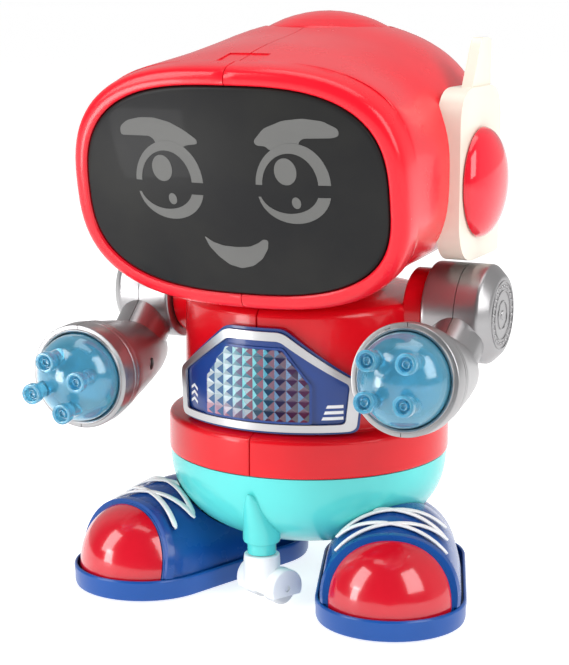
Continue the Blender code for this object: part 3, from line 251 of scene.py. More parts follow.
def fillet(points, radius, steps=3, closed=False):
    """Round the corners of a flat line of points."""
    count = len(points)
    out = []
    for i, point in enumerate(points):
        if not closed and i in (0, count - 1):
            out.append(tuple(point))
            continue
        here = Vector(point)
        back, ahead = Vector(points[i - 1]), Vector(points[(i + 1) % count])
        start = here + (back - here).normalized() * min(radius, (back - here).length * 0.45)
        end = here + (ahead - here).normalized() * min(radius, (ahead - here).length * 0.45)
        for k in range(steps + 1):
            t = k / steps
            out.append(tuple(start * (1 - t) ** 2 + here * 2 * t * (1 - t) + end * t ** 2))
    return out


def turned(profile, steps=96, start=0.0, end=360.0):
    """A profile of (radius, height) turned about Z: a ring if it stays off the axis."""
    closed = profile[0][0] > 1e-6 and profile[-1][0] > 1e-6
    full = end - start >= 360
    rows = []
    for i in range(steps if full else steps + 1):
        angle = math.radians(start + (end - start) * i / steps)
        rows.append([(r * math.cos(angle), r * math.sin(angle), z) for r, z in profile])
    return skin(rows, wrap=closed, close=full, cap=not full)


def prism(outline, start, end, lay):
    """A flat outline pushed from start to end; lay(a, b, depth) gives a point."""
    return skin([[lay(a, b, start) for a, b in outline], [lay(a, b, end) for a, b in outline]],
                cap=True)


def box(size, centre=(0, 0, 0)):
    bm = bmesh.new()
    bmesh.ops.create_cube(bm, size=1.0)
    bmesh.ops.scale(bm, vec=size, verts=bm.verts)
    bmesh.ops.translate(bm, vec=centre, verts=bm.verts)
    return bm


def rod(radius, start, end, steps=48, edge=0.0004):
    """A round bar from one point to another, with softened ends."""
    start, end = Vector(start), Vector(end)
    length = (end - start).length
    bm = turned([(0, 0), (radius - edge, 0), (radius, edge), (radius, length - edge),
                 (radius - edge, length), (0, length)], steps)
    turn = (end - start).to_track_quat("Z", "Y").to_matrix().to_4x4()
    bm.transform(Matrix.Translation(start) @ turn)
    return bm


def ball(centre, radius, steps=20):
    profile = [(radius * math.sin(math.pi * i / 10), -radius * math.cos(math.pi * i / 10))
               for i in range(11)]
    profile[0], profile[-1] = (0, -radius), (0, radius)
    return moved(turned(profile, steps), centre)


def moved(bm, offset):
    bmesh.ops.translate(bm, vec=offset, verts=bm.verts)
    return bm


def turned_to(bm, matrix):
    bm.transform(matrix)
    return bm


def combined(first, second, operation):
    """first joined with, cut by or kept inside second."""
    pair = []
    for bm in (first, second):
        mesh = bpy.data.meshes.new("working")
        bm.to_mesh(mesh)
        bm.free()
        pair.append(bpy.data.objects.new("working", mesh))
        bpy.context.scene.collection.objects.link(pair[-1])
    modifier = pair[0].modifiers.new("work", "BOOLEAN")
    modifier.operation, modifier.solver, modifier.object = operation, "EXACT", pair[1]
    bpy.context.view_layer.update()
    evaluated = pair[0].evaluated_get(bpy.context.evaluated_depsgraph_get())
    result = bmesh.new()
    result.from_mesh(bpy.data.meshes.new_from_object(evaluated))
    for item in pair:
        bpy.data.objects.remove(item, do_unlink=True)
    return result


def joined(*parts):
    """Several closed bodies kept in one mesh."""
    result = bmesh.new()
    for bm in parts:
        mesh = bpy.data.meshes.new("working")
        bm.to_mesh(mesh)
        bm.free()
        result.from_mesh(mesh)
    return result


def plate(outline, top, bottom, lay, step=0.0015):
    """A flat outline made a plate between two depths, cut into strips so that lay can bend it."""
    bm = bmesh.new()
    bm.faces.new([bm.verts.new((a, b, 0)) for a, b in outline])
    left, right = min(a for a, b in outline), max(a for a, b in outline)
    for k in range(1, int((right - left) / step) + 1):
        geometry = bm.verts[:] + bm.edges[:] + bm.faces[:]
        bmesh.ops.bisect_plane(bm, geom=geometry, plane_co=(left + k * step, 0, 0),
                               plane_no=(1, 0, 0), dist=1e-6)
    bmesh.ops.triangulate(bm, faces=bm.faces)
    pushed = bmesh.ops.extrude_face_region(bm, geom=bm.faces[:])
    lower = set(item for item in pushed["geom"] if isinstance(item, bmesh.types.BMVert))
    for vert in bm.verts:
        vert.co = lay(vert.co.x, vert.co.y, bottom if vert in lower else top)
    return cleaned(bm)


def ring_plate(outer, inner, top, bottom, lay, step=0.0015):
    """The same for a frame between two outlines with as many points each."""
    bm = bmesh.new()
    rows = [[bm.verts.new((a, b, 0)) for a, b in line] for line in (outer, inner)]
    for i in range(len(outer)):
        j = (i + 1) % len(outer)
        bm.faces.new((rows[0][i], rows[0][j], rows[1][j], rows[1][i]))
    left, right = min(a for a, b in outer), max(a for a, b in outer)
    for k in range(1, int((right - left) / step) + 1):
        geometry = bm.verts[:] + bm.edges[:] + bm.faces[:]
        bmesh.ops.bisect_plane(bm, geom=geometry, plane_co=(left + k * step, 0, 0),
                               plane_no=(1, 0, 0), dist=1e-6)
    pushed = bmesh.ops.extrude_face_region(bm, geom=bm.faces[:])
    lower = set(item for item in pushed["geom"] if isinstance(item, bmesh.types.BMVert))
    for vert in bm.verts:
        vert.co = lay(vert.co.x, vert.co.y, bottom if vert in lower else top)
    return cleaned(bm)


def piece(name, bm, look, body, nodes=(), at=BODY, smooth=38.0, bevel=0.0):
    """Make a finished piece of the robot that rides on a body and stands for CAD nodes."""
    mesh = bpy.data.meshes.new(name)
    bm.to_mesh(mesh)
    bm.free()
    made = bpy.data.objects.new(name, mesh)
    bpy.context.scene.collection.objects.link(made)
    made.matrix_world = at
    mesh.materials.clear()
    mesh.materials.append(LOOKS[look])
    mesh.shade_smooth()
    mesh.set_sharp_from_angle(angle=math.radians(smooth))
    if bevel:
        edge = made.modifiers.new("edge", "BEVEL")
        edge.width, edge.segments = bevel, 3
        edge.limit_method, edge.angle_limit = "ANGLE", math.radians(32)
        edge.use_clamp_overlap = True
        edge.harden_normals = True
    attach(made, body)
    if nodes:
        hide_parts(*nodes)
    return made


def catmull(rows, steps):
    """Rows of points between the given ones, on smooth curves through them."""
    out = []
    for k in range(len(rows) - 1):
        a, b = rows[max(k - 1, 0)], rows[k]
        c, d = rows[k + 1], rows[min(k + 2, len(rows) - 1)]
        for i in range(steps):
            t = i / steps
            row = []
            for p, q, r, s in zip(a, b, c, d):
                p, q, r, s = Vector(p), Vector(q), Vector(r), Vector(s)
                row.append(0.5 * (2 * q + (r - p) * t + (2 * p - 5 * q + 4 * r - s) * t ** 2
                                  + (3 * q - p - 3 * r + s) * t ** 3))
            out.append(row)
    out.append([Vector(point) for point in rows[-1]])
    return out


# ---------------------------------------------------------------- head

FACE_CENTRE = (-0.0612, 0.1352)
FACE_TILT = math.radians(10.4)
FACE_SIZE = (0.0506, 0.0337, 0.0316)   # half width, height above and below the middle
FACE_EXPONENTS = (2.84, 2.82)
FACE_CURVE, FACE_BULGE = 0.308, 0.142   # radii of the face seen from above and from the side
RIM = ((0.0036, 0.0003), (0.0004, 0.0003), (-0.0004, 0.0004), (-0.0010, 0.0009),
       (-0.0013, 0.0017), (-0.0013, 0.0031), (-0.0011, 0.0041), (-0.0004, 0.0050),
       (0.0006, 0.0054), (0.0020, 0.0056), (0.0048, 0.0057), (0.0080, 0.0057))
HEAD_SECTIONS = ((-0.0440, 0.1385, 12.0, 0.0562, 0.0392, 0.0375, 2.9, 2.7),
                 (-0.0280, 0.1410, 8.0, 0.0558, 0.0398, 0.0365, 2.4, 3.0),
                 (-0.0100, 0.1440, 4.0, 0.0552, 0.0394, 0.0375, 2.35, 3.4),
                 (0.0080, 0.1460, 0.0, 0.0545, 0.0412, 0.0385, 2.15, 3.5),
                 (0.0240, 0.1465, -4.0, 0.0528, 0.0404, 0.0370, 2.1, 3.2),
                 (0.0370, 0.1465, -8.0, 0.0470, 0.0362, 0.0310, 2.3, 2.8),
                 (0.0460, 0.1465, -9.0, 0.0370, 0.0250, 0.0230, 2.2, 2.4),
                 (0.0505, 0.1465, -9.0, 0.0220, 0.0140, 0.0130, 2.0, 2.0))
HEAD_BACK = (0.0520, 0.1465)
NECK_RADIUS = 0.0236
CROWN_RADIUS = 0.0212
CROWN_DISC = Matrix.Translation((0, 0.0165, 0.1841)) @ Matrix.Rotation(math.radians(-2), 4, "X")


def on_face(u, v, depth):
    """A point of the curved face, u across, v up and at a depth behind it."""
    back = depth + u ** 2 / (2 * FACE_CURVE) + v ** 2 / (2 * FACE_BULGE)
    return Vector((u, FACE_CENTRE[0] + back * math.cos(FACE_TILT) - v * math.sin(FACE_TILT),
                   FACE_CENTRE[1] + back * math.sin(FACE_TILT) + v * math.cos(FACE_TILT)))


def oval(half_width, up, down, exponents, angles):
    points = []
    for angle in angles:
        c, s = math.cos(math.radians(angle)), math.sin(math.radians(angle))
        height, exponent = (up, exponents[0]) if s > 0 else (down, exponents[1])
        points.append((math.copysign(abs(c) ** (2 / exponent), c) * half_width,
                       math.copysign(abs(s) ** (2 / exponent), s) * height))
    return points


def head_half(side):
    """One half of the head: both skins, the face's rim, and the grooved edge of the seam."""
    angles = [-90.0, -89.96] + [-88.6 + 177.2 * i / 48 for i in range(49)] + [89.96, 90.0]

    def placed(points, put, groove):
        row = []
        for index, (u, v) in enumerate(points):
            if index in (0, len(points) - 1):
                u, v = 0.00015, v - math.copysign(groove, v)
            row.append(put(side * u, v))
        return row

    def face_row(depth, grow, groove=0.0003):
        points = oval(*(size + grow for size in FACE_SIZE), FACE_EXPONENTS, angles)
        return placed(points, lambda u, v: on_face(u, v, depth), groove)

    def section_row(section, grow, groove=0.0003):
        y, z, tilt, half_width, up, down, n_up, n_low = section
        points = oval(half_width + grow, up + grow, down + grow, (n_up, n_low), angles)
        tilt = math.radians(tilt)
        return placed(points, lambda u, v: Vector((u, y - v * math.sin(tilt),
                                                   z + v * math.cos(tilt))), groove)

    def tip_row(grow):
        return [Vector((side * 0.00015, HEAD_BACK[0] + grow, HEAD_BACK[1]))] * len(angles)

    rim = [face_row(depth, grow, 0.0003 if grow > 0.001 else 0) for depth, grow in RIM]
    outside = catmull([rim[-1]] + [section_row(s, 0) for s in HEAD_SECTIONS] + [tip_row(0)], 5)
    inside = [tip_row(-WALL)] + [section_row(s, -WALL, 0) for s in reversed(HEAD_SECTIONS)]
    inside += [face_row(0.0080, 0.0039, 0), face_row(0.0036, 0.0039, 0)]
    rows = rim + outside[1:] + inside
    bm = bmesh.new()
    grid = [[bm.verts.new(point) for point in row] for row in rows]
    for k, near in enumerate(grid):
        far = grid[(k + 1) % len(grid)]
        for i in range(len(angles) - 1):
            bm.faces.new((near[i], near[i + 1], far[i + 1], far[i]))
    bm.faces.new([row[0] for row in grid])
    bm.faces.new([row[-1] for row in reversed(grid)])
    return cleaned(bm)


def build_head():
    for side_name, side in SIDES.items():
        half = head_half(side)
        half = combined(half, rod(NECK_RADIUS + 0.0004, (0, 0, 0.09), (0, 0, 0.13), 96, 1e-5),
                        "DIFFERENCE")
        half = combined(half, turned_to(rod(CROWN_RADIUS + GAP, (0, 0, -0.02), (0, 0, 0.02), 96,
                                            1e-5), CROWN_DISC), "DIFFERENCE")
        recess = turned_to(box((0.0140, 0.0105, 0.0034)), Matrix.Translation(
            on_face(0, FACE_SIZE[1] + 0.0069, 0.0125)) @ Matrix.Rotation(math.radians(12), 4, "X"))
        half = combined(half, recess, "DIFFERENCE")
        piece("head_casing_" + side_name, half, "head_red", "head",
              ["head_shell_" + side_name], smooth=32)
    crown = fillet([(0, 0.0059), (0.0040, 0.0057), (0.0080, 0.0051), (0.0120, 0.0041),
                    (0.0155, 0.0029), (0.0185, 0.0015), (0.0206, 0.0004), (CROWN_RADIUS, -0.0004),
                    (CROWN_RADIUS, -0.0050), (0.0196, -0.0050), (0.0196, -0.0012),
                    (0.0120, 0.0018), (0, 0.0038)], 0.0006)
    piece("crown_button", turned_to(turned(crown, 128), CROWN_DISC), "head_red", "head",
          ["crown_disc"])
    neck = fillet([(0.0270, 0.1205), (0.0270, 0.1190), (NECK_RADIUS, 0.1190),
                   (NECK_RADIUS, 0.0945), (0.0270, 0.0945), (0.0270, 0.0925),
                   (0.0205, 0.0925), (0.0205, 0.1205)], 0.0003, closed=True)
    piece("neck_turning_tube", turned(neck, 96), "head_red", "head", ["neck_tube"])
    build_face()
    for side_name, side in SIDES.items():
        build_ear(side_name, side)


def build_face():
    angles = [360 * (i + 0.5) / 160 for i in range(160)]

    def ring(share, depth, grow=0.0):
        points = oval(*(size + grow for size in FACE_SIZE), FACE_EXPONENTS, angles)
        return [on_face(u * share, v * share, depth) for u, v in points]

    shares = (0.0, 0.12, 0.25, 0.4, 0.55, 0.7, 0.82, 0.91, 0.96)
    rows = [ring(share, -0.0007) for share in shares]
    rows += [ring(1, -0.0007, -0.0010), ring(1, -0.0006, -0.0005), ring(1, -0.0003, -0.0001),
             ring(1, 0.0002), ring(1, 0.0028)]
    rows += [ring(share, 0.0028) for share in reversed(shares)]
    piece("face_window", skin(rows), "face_panel", "head", ["face_lens"], smooth=50)
    for number, outline in enumerate(face_shapes()):
        drawn = plate(outline, -0.00078 - number * 0.000004, -0.0003, on_face, 0.0012)
        piece("face_light_%02d" % number, drawn, "led_window", "head")


def bow(outer, inner, ends):
    """A crescent between two ovals (centre u, centre v, half width, half height), from one
    height on the left to another on the right, above or below them."""
    lines = []
    for (u, v, a, b), below in ((outer, ends[2]), (inner, ends[2])):
        sign = -1 if below else 1
        left = math.degrees(math.asin(max(min(sign * (ends[0] - v) / b, 1), -1)))
        right = math.degrees(math.asin(max(min(sign * (ends[1] - v) / b, 1), -1)))
        first, last = 180 - left, right
        line = []
        for k in range(33):
            angle = math.radians(first + (last - first) * k / 32)
            line.append((u + a * math.cos(angle), v + sign * b * math.sin(angle)))
        lines.append(line)
    return [(u / 1000, v / 1000) for u, v in lines[0] + list(reversed(lines[1]))]


def spot(u, v, a, b, lean=0.0):
    turn = math.radians(lean)
    points = []
    for k in range(40):
        angle = 2 * math.pi * k / 40
        x, y = a * math.cos(angle), b * math.sin(angle)
        points.append(((u + x * math.cos(turn) - y * math.sin(turn)) / 1000,
                       (v + x * math.sin(turn) + y * math.cos(turn)) / 1000))
    return points


def face_shapes():
    """Outlines of the lit parts of the face on its plane: brows, eyes and mouth."""
    left_brow = [(-36.4, 18.0), (-36.6, 20.6), (-34.0, 22.6), (-29.4, 23.7), (-24.4, 23.9),
                 (-18.6, 22.8), (-13.6, 20.6), (-9.3, 18.0), (-9.0, 16.6), (-12.9, 16.1),
                 (-14.6, 15.2), (-23.4, 14.0), (-23.9, 17.0), (-25.8, 18.3)]
    right_brow = [(9.7, 18.2), (13.0, 22.0), (19.0, 24.4), (25.2, 25.1), (31.4, 24.4),
                  (36.2, 22.2), (36.6, 20.2), (34.6, 19.5), (25.4, 19.3), (23.9, 18.0),
                  (24.6, 15.0), (14.8, 15.6), (13.6, 16.8), (10.6, 16.9)]
    shapes = [[(u / 1000, v / 1000) for u, v in fillet(brow, 1.1, 4, closed=True)]
              for brow in (left_brow, right_brow)]
    for u, v in ((-19.7, 4.3), (21.8, 5.0)):
        shapes.append(bow((u, v, 11.9, 12.8), (u - 0.9, v, 8.9, 9.8), (v + 0.1, v + 0.4, False)))
        shapes.append(bow((u + 0.2, v - 1.8, 11.6, 9.9), (u - 1.4, v - 1.6, 9.4, 7.0),
                          (v - 3.6, v - 3.4, True)))
        shapes.append(spot(u - 2.2, v + 4.3, 3.5, 4.1, 14))
        shapes.append(spot(u + 0.8, v - 5.2, 1.4, 1.8, 12))
    mouth = [(-9.3, -12.2), (-6.5, -14.1), (-3.0, -15.1), (1.5, -15.3), (6.0, -14.9),
             (9.0, -13.5), (10.7, -12.2), (12.3, -12.5), (11.9, -15.2), (9.6, -18.8),
             (6.3, -21.3), (2.2, -22.4), (-1.8, -21.4), (-5.2, -18.8), (-7.9, -15.6)]
    shapes.append([(u / 1000, v / 1000) for u, v in fillet(mouth, 0.8, 4, closed=True)])
    return shapes


def build_ear(side_name, side):
    y, z = 0.0020, 0.1366
    corners = [(y + 0.0200, 0.1120), (y + 0.0200, 0.1670), (y - 0.0200, 0.1670),
               (y - 0.0200, 0.1120)]
    outline = []
    for (a, b), radius in zip(corners, (0.0020, 0.0120, 0.0120, 0.0150)):
        index = corners.index((a, b))
        back, ahead = corners[index - 1], corners[(index + 1) % 4]
        outline += fillet([back, (a, b), ahead], radius, 10)[1:-1]
    pad = prism(outline, 0.0510, 0.0588, lambda a, b, depth: (side * depth, a, b))
    if side_name == "left":
        fin = fillet([(0.0130, 0.1600), (0.0130, 0.1812), (0.0105, 0.1822), (0.0040, 0.1822),
                      (0.0022, 0.1806), (-0.0065, 0.1650), (-0.0065, 0.1600)], 0.0008, 3,
                     closed=True)
        pad = combined(pad, prism(fin, 0.0545, 0.0580, lambda a, b, depth: (depth, a, b)),
                       "UNION")
    well = rod(0.0152, (side * 0.0560, y, z), (side * 0.07, y, z), 96, 1e-5)
    pad = combined(pad, well, "DIFFERENCE")
    piece("ear_pad_" + side_name, pad, "ear_cream", "head", ["ear_cover_" + side_name],
          bevel=0.0007)
    radius, height = 0.0177, 0.0072
    dome = [(0, height)]
    for degrees in range(84, 0, -6):
        angle = math.radians(degrees)
        dome.append((radius * math.cos(angle) ** 0.94, height * math.sin(angle)))
    dome += [(radius, 0.0004), (radius - 0.0003, 0), (0.0150, 0), (0.0120, 0.0030),
             (0, 0.0050)]
    lens = turned_to(turned(dome, 128), Matrix.Translation((side * 0.0591, y, z))
                     @ Matrix.Rotation(side * math.radians(90), 4, "Y"))
    piece("ear_dome_" + side_name, lens, "ear_red", "head", ["ear_lens_" + side_name])


# ---------------------------------------------------------------- torso and pelvis

BELT_RADIUS, BELT_BOTTOM, BELT_TOP = 0.0475, 0.0446, 0.0562
TORSO_RADIUS, TORSO_TOP = 0.0418, 0.0965
COLLAR_RADIUS, COLLAR_TOP = 0.0260, 0.1030
SHOULDER_Z = 0.0942
DRUM_INNER = 0.0454


def torso_half(side):
    inner = TORSO_RADIUS - WALL
    belt_inner = BELT_RADIUS - 0.0021
    neck_bore = NECK_RADIUS + 0.0005
    outside = fillet([(neck_bore, COLLAR_TOP), (COLLAR_RADIUS, COLLAR_TOP),
                      (COLLAR_RADIUS, 0.0996), (0.0340, 0.0988), (0.0402, 0.0977),
                      (TORSO_RADIUS - 0.0002, 0.0960), (TORSO_RADIUS, 0.0620),
                      (TORSO_RADIUS + 0.0004, 0.0584), (BELT_RADIUS - 0.0008, BELT_TOP + 0.0010),
                      (BELT_RADIUS, BELT_TOP), (BELT_RADIUS, BELT_BOTTOM + 0.0003),
                      (BELT_RADIUS - 0.0004, BELT_BOTTOM)], 0.0009, 4)
    inside = [(belt_inner, BELT_BOTTOM), (belt_inner, 0.0545), (inner + 0.0002, 0.0595),
              (inner, 0.0950), (0.0340, 0.0964), (neck_bore, 0.0972)]
    middle = -90.0 if side > 0 else 90.0
    edge = math.degrees(0.00045 / BELT_RADIUS)
    angles = [0, edge] + [edge * 2 + (180 - edge * 4) * i / 72 for i in range(73)]
    angles += [180 - edge, 180]
    rows = []
    for index, turn in enumerate(angles):
        last = index in (0, len(angles) - 1)
        angle = math.radians(middle + turn)
        row = []
        for number, (r, z) in enumerate(outside + inside):
            if last and 0 < number < len(outside) - 1:
                r -= 0.0003
            x = r * math.cos(angle) + (side * 0.00015 if last else 0)
            row.append((x, r * math.sin(angle), z))
        rows.append(row)
    return skin(rows, wrap=True, cap=True)


def badge_outline(grow, radius=0.0022):
    half_bottom, half_shoulder, half_top = 0.0300, 0.0312, 0.0097
    bottom, shoulder, top, middle = 0.0585, 0.0745, 0.0925, 0.0740
    right = [(half_bottom, bottom), (half_shoulder, shoulder), (half_top, top)]
    wider, taller = 1 + grow / half_shoulder, 1 + 2 * grow / (top - bottom)
    outline = [(x * wider, middle + (z - middle) * taller) for x, z in right]
    return fillet(outline + [(-x, z) for x, z in reversed(outline)], radius, 5, closed=True)


def on_chest(radius):
    def lay(x, z, rise):
        angle = math.asin(x / radius)
        reach = radius + rise
        return Vector((reach * math.sin(angle), -reach * math.cos(angle), z))
    return lay


def build_badge():
    base = TORSO_RADIUS + 0.0007
    lay = on_chest(base)
    piece("badge_panel", plate(badge_outline(0), 0.0016, 0, lay), "badge_blue", "torso",
          ["badge_plate"], bevel=0.0003)
    border = ring_plate(badge_outline(-0.0009), badge_outline(-0.0036, 0.0014), 0.0027, 0.0019,
                        lay)
    piece("badge_rim", border, "badge_silver", "torso", ["badge_border"], bevel=0.0003)
    outline = [(0.0172, 0.0627), (0.0172, 0.0745), (0.0092, 0.0857), (-0.0092, 0.0857),
               (-0.0172, 0.0745), (-0.0172, 0.0627)]
    cell, rows, columns = 0.0035, 7, 10
    bm = bmesh.new()
    left, low = -cell * columns / 2, 0.0622
    for i in range(columns):
        for k in range(rows):
            x, z = left + (i + 0.5) * cell, low + (k + 0.5) * cell
            peak = bm.verts.new((x, z, 0.0031))
            ring = [bm.verts.new((x + a * cell / 2, z + b * cell / 2, 0.0021))
                    for a, b in ((-1, -1), (1, -1), (1, 1), (-1, 1))]
            for n in range(4):
                bm.faces.new((ring[n], ring[(n + 1) % 4], peak))
    bmesh.ops.remove_doubles(bm, verts=bm.verts, dist=1e-6)
    pushed = bmesh.ops.extrude_face_region(bm, geom=bm.faces[:])
    for item in pushed["geom"]:
        if isinstance(item, bmesh.types.BMVert):
            item.co.z = 0.0018
    bmesh.ops.recalc_face_normals(bm, faces=bm.faces)
    tool = prism(fillet(outline, 0.0008, 3, closed=True), 0.0, 0.01,
                 lambda a, b, depth: (a, b, depth))
    lens = combined(bm, tool, "INTERSECT")
    for vert in lens.verts:
        vert.co = lay(vert.co.x, vert.co.y, vert.co.z)
    piece("chest_prisms", cleaned(lens), "chest_clear", "torso", ["chest_lens"], smooth=10)
    inner = fillet(outline, 0.0008, 3, closed=True)
    outer = [(x * 1.045, 0.0740 + (z - 0.0740) * 1.065) for x, z in inner]
    piece("chest_lens_frame", ring_plate(outer, inner, 0.0023, 0.0017, lay), "badge_blue",
          "torso")
    marks = []
    for k in range(3):
        x, z = -0.0240, 0.0640 + 0.0022 * k
        marks.append([(x - 0.0016, z), (x, z + 0.0012), (x + 0.0016, z),
                      (x + 0.0016, z + 0.0009), (x, z + 0.0021), (x - 0.0016, z + 0.0009)])
    for k in range(3):
        z = 0.0632 + 0.0019 * k
        marks.append([(0.0205 + 0.0006 * k, z), (0.0262, z), (0.0262, z + 0.0010),
                      (0.0209 + 0.0006 * k, z + 0.0010)])
    for number, mark in enumerate(marks):
        piece("badge_mark_%d" % number, plate(mark, 0.00170, 0.0014, lay), "mark_white",
              "torso")


def bowl_profile(shrink, steps=30):
    depth = BELT_BOTTOM - 0.0146 - shrink
    points = []
    for i in range(steps + 1):
        angle = math.radians(90 * i / steps)
        radius = (0.0470 - shrink) * max(math.cos(angle), 0) ** (2 / 2.4)
        points.append((radius, BELT_BOTTOM - GAP - depth * math.sin(angle) ** (2 / 2.4)))
    points[-1] = (0, points[-1][1])
    return points


def build_torso():
    for side_name, side in SIDES.items():
        half = torso_half(side)
        boss = rod(0.0137, (side * 0.0385, 0, SHOULDER_Z),
                   (side * (DRUM_INNER - GAP), 0, SHOULDER_Z), 96, 0.0005)
        half = combined(half, boss, "UNION")
        bore = rod(0.0041, (side * 0.0384, 0, SHOULDER_Z), (side * 0.05, 0, SHOULDER_Z), 32,
                   1e-5)
        half = combined(half, bore, "DIFFERENCE")
        door = box((0.0560, 0.03, 0.0345), (0, 0.0435, 0.07575))
        half = combined(half, door, "DIFFERENCE")
        slot = box((0.0130, 0.01, 0.0046), (0, 0.0465, 0.0504))
        half = combined(half, slot, "DIFFERENCE")
        piece("torso_casing_" + side_name, half, "torso_red", "torso",
              ["torso_shell_" + side_name], smooth=30)
    build_badge()
    bowl = turned(bowl_profile(0) + list(reversed(bowl_profile(0.0020))), 128)
    rows = []
    for half_width, front, z in ((0.0004, 0.0485, 0.0387), (0.0011, 0.0483, 0.0380),
                                 (0.0026, 0.0477, 0.0350), (0.0045, 0.0462, 0.0295),
                                 (0.0056, 0.0449, 0.0262), (0.0062, 0.0442, 0.0240),
                                 (0.0062, 0.0442, 0.0213), (0.0059, 0.0439, 0.0206),
                                 (0.0050, 0.0430, 0.0203), (0.0047, 0.0427, 0.0201),
                                 (0.0047, 0.0427, 0.0166)):
        rows.append([(half_width * math.cos(a), half_width - front + half_width * math.sin(a), z)
                     for a in (2 * math.pi * k / 48 for k in range(48))])
    bowl = combined(bowl, skin(rows, cap=True), "UNION")
    bowl = combined(bowl, rod(0.0032, (0, -0.0380, 0.010), (0, -0.0380, 0.0235), 48, 1e-5),
                    "DIFFERENCE")
    inside = turned([(0, BELT_BOTTOM + 0.01), (0.0449, BELT_BOTTOM + 0.01)]
                    + bowl_profile(0.0021), 128)
    bowl = combined(bowl, inside, "DIFFERENCE")
    piece("pelvis_shell", bowl, "pelvis_turquoise", "torso", ["pelvis_bowl"], smooth=30)
    build_door()


def build_door():
    """The battery door with its grip ribs and the switch knob beside it."""
    def lay(x, z, rise):
        angle = math.asin(x / TORSO_RADIUS)
        reach = TORSO_RADIUS + rise
        return Vector((-reach * math.sin(angle), reach * math.cos(angle), z))

    outline = fillet([(-0.0277, 0.0588), (0.0277, 0.0588), (0.0277, 0.0927),
                      (-0.0277, 0.0927)], 0.0012, 4, closed=True)
    door = plate(outline, 0, -WALL, lay)
    hole = rod(0.0034, (0, 0.0402, 0.0895), (0, 0.05, 0.0895), 32, 1e-5)
    door = combined(door, hole, "DIFFERENCE")
    door = combined(door, rod(0.0017, (0, 0.03, 0.0895), (0, 0.05, 0.0895), 24, 1e-5),
                    "DIFFERENCE")
    piece("battery_lid", door, "torso_red", "torso", ["battery_door"], smooth=30)
    for k in range(6):
        z = 0.0622 + 0.0022 * k
        rib = fillet([(-0.0080, z), (0.0080, z), (0.0080, z + 0.0009), (-0.0080, z + 0.0009)],
                     0.0004, 3, closed=True)
        piece("lid_rib_%d" % k, plate(rib, 0.0005, -0.0005, lay), "torso_red", "torso")
    screw = fillet([(0, 0.0012), (0.0022, 0.0012), (0.0029, 0.0004), (0.0029, 0), (0.0014, 0),
                    (0.0014, -0.0050), (0, -0.0050)], 0.0002)
    head = turned(screw, 48)
    for turn in (0, 90):
        slot = turned_to(box((0.0040, 0.0007, 0.0012), (0, 0, 0.0012)),
                         Matrix.Rotation(math.radians(turn + 45), 4, "Z"))
        head = combined(head, slot, "DIFFERENCE")
    head = turned_to(head, Matrix.Translation((0, 0.0404, 0.0895))
                     @ Matrix.Rotation(math.radians(-90), 4, "X"))
    piece("lid_screw", head, "screw_steel", "torso", ["battery_door_screw"])
    knob = box((0.0060, 0.0052, 0.0040), (-0.0022, BELT_RADIUS - 0.0016, 0.0504))
    flange = box((0.0100, 0.0012, 0.0090), (-0.0022, BELT_RADIUS - 0.0042, 0.0504))
    knob = combined(knob, flange, "UNION")
    for k in range(3):
        groove = box((0.0005, 0.0012, 0.0050),
                     (-0.0034 + 0.0012 * k, BELT_RADIUS + 0.0010, 0.0504))
        knob = combined(knob, groove, "DIFFERENCE")
    piece("switch_knob", knob, "black_plastic", "switch", ["power_switch"], bevel=0.0002)


# ---------------------------------------------------------------- arms

ARM_MIDDLE, FOREARM_DROP, FOREARM_FRONT = 0.0567, 0.0185, 0.0570
RING_RADIUS = 0.0172
DRUM_OUTER, DRUM_RADIUS, DRUM_CHAMFER = 0.0680, 0.0162, 0.0036
DOME_RADIUS, DOME_HEIGHT = 0.0145, 0.0112
BARREL_TIP = 0.0165
BARREL_ROLL = {"left": 0.0, "right": 27.0}


def arm_place(side_name):
    """The arm's frame on the shoulder's axis, leaning as its muzzle's joint says."""
    axis = JOINTS["muzzle_spin_" + side_name]["axis"]
    pitch = math.atan2(axis[2], -axis[1])
    return Matrix.Translation((0, AXIS_Y, SHOULDER_Z)) @ Matrix.Rotation(-pitch, 4, "X")


def drum(side, grow):
    outer, inner, radius = DRUM_OUTER + grow, DRUM_INNER - grow, DRUM_RADIUS + grow
    profile = fillet([(0, outer), (radius - DRUM_CHAMFER, outer), (radius, outer - DRUM_CHAMFER),
                      (radius, inner + 0.0006), (radius - 0.0006, inner), (0, inner)],
                     0.0010, 4)
    return turned_to(turned(profile, 96), Matrix.Rotation(side * math.radians(90), 4, "Y"))


def forearm(side, grow, front, grooves=False):
    profile = [(0, front)]
    if grooves:
        profile += fillet([(RING_RADIUS - 0.0022, front), (RING_RADIUS, front),
                           (RING_RADIUS, 0.0508), (RING_RADIUS - 0.0007, 0.0502),
                           (RING_RADIUS - 0.0007, 0.0496), (RING_RADIUS - 0.0004, 0.0492),
                           (RING_RADIUS - 0.0005, 0.0478), (RING_RADIUS - 0.0011, 0.0473),
                           (RING_RADIUS - 0.0011, 0.0467), (RING_RADIUS - 0.0009, 0.0462),
                           (0.0160, 0.0440)], 0.0005, 3)
        rear = [(0.0150, 0.0400), (0.0137, 0.0330), (0.0118, 0.0240), (0.0100, 0.0165),
                (0.0082, 0.0115), (0.0060, 0.0092), (0.0035, 0.0084)]
        profile += rear
    else:
        shape = ((RING_RADIUS, front), (RING_RADIUS, 0.0500), (RING_RADIUS - 0.0012, 0.0480),
                 (0.0148, 0.0400), (0.0118, 0.0240), (0.0088, 0.0120), (0.0060, 0.0095))
        profile += [(r + grow, reach - (grow if reach < 0.011 else 0)) for r, reach in shape]
    profile.append((0, profile[-1][1]))
    return turned_to(turned(profile, 96), Matrix.Translation((side * ARM_MIDDLE, 0,
                                                              -FOREARM_DROP))
                     @ Matrix.Rotation(math.radians(90), 4, "X"))


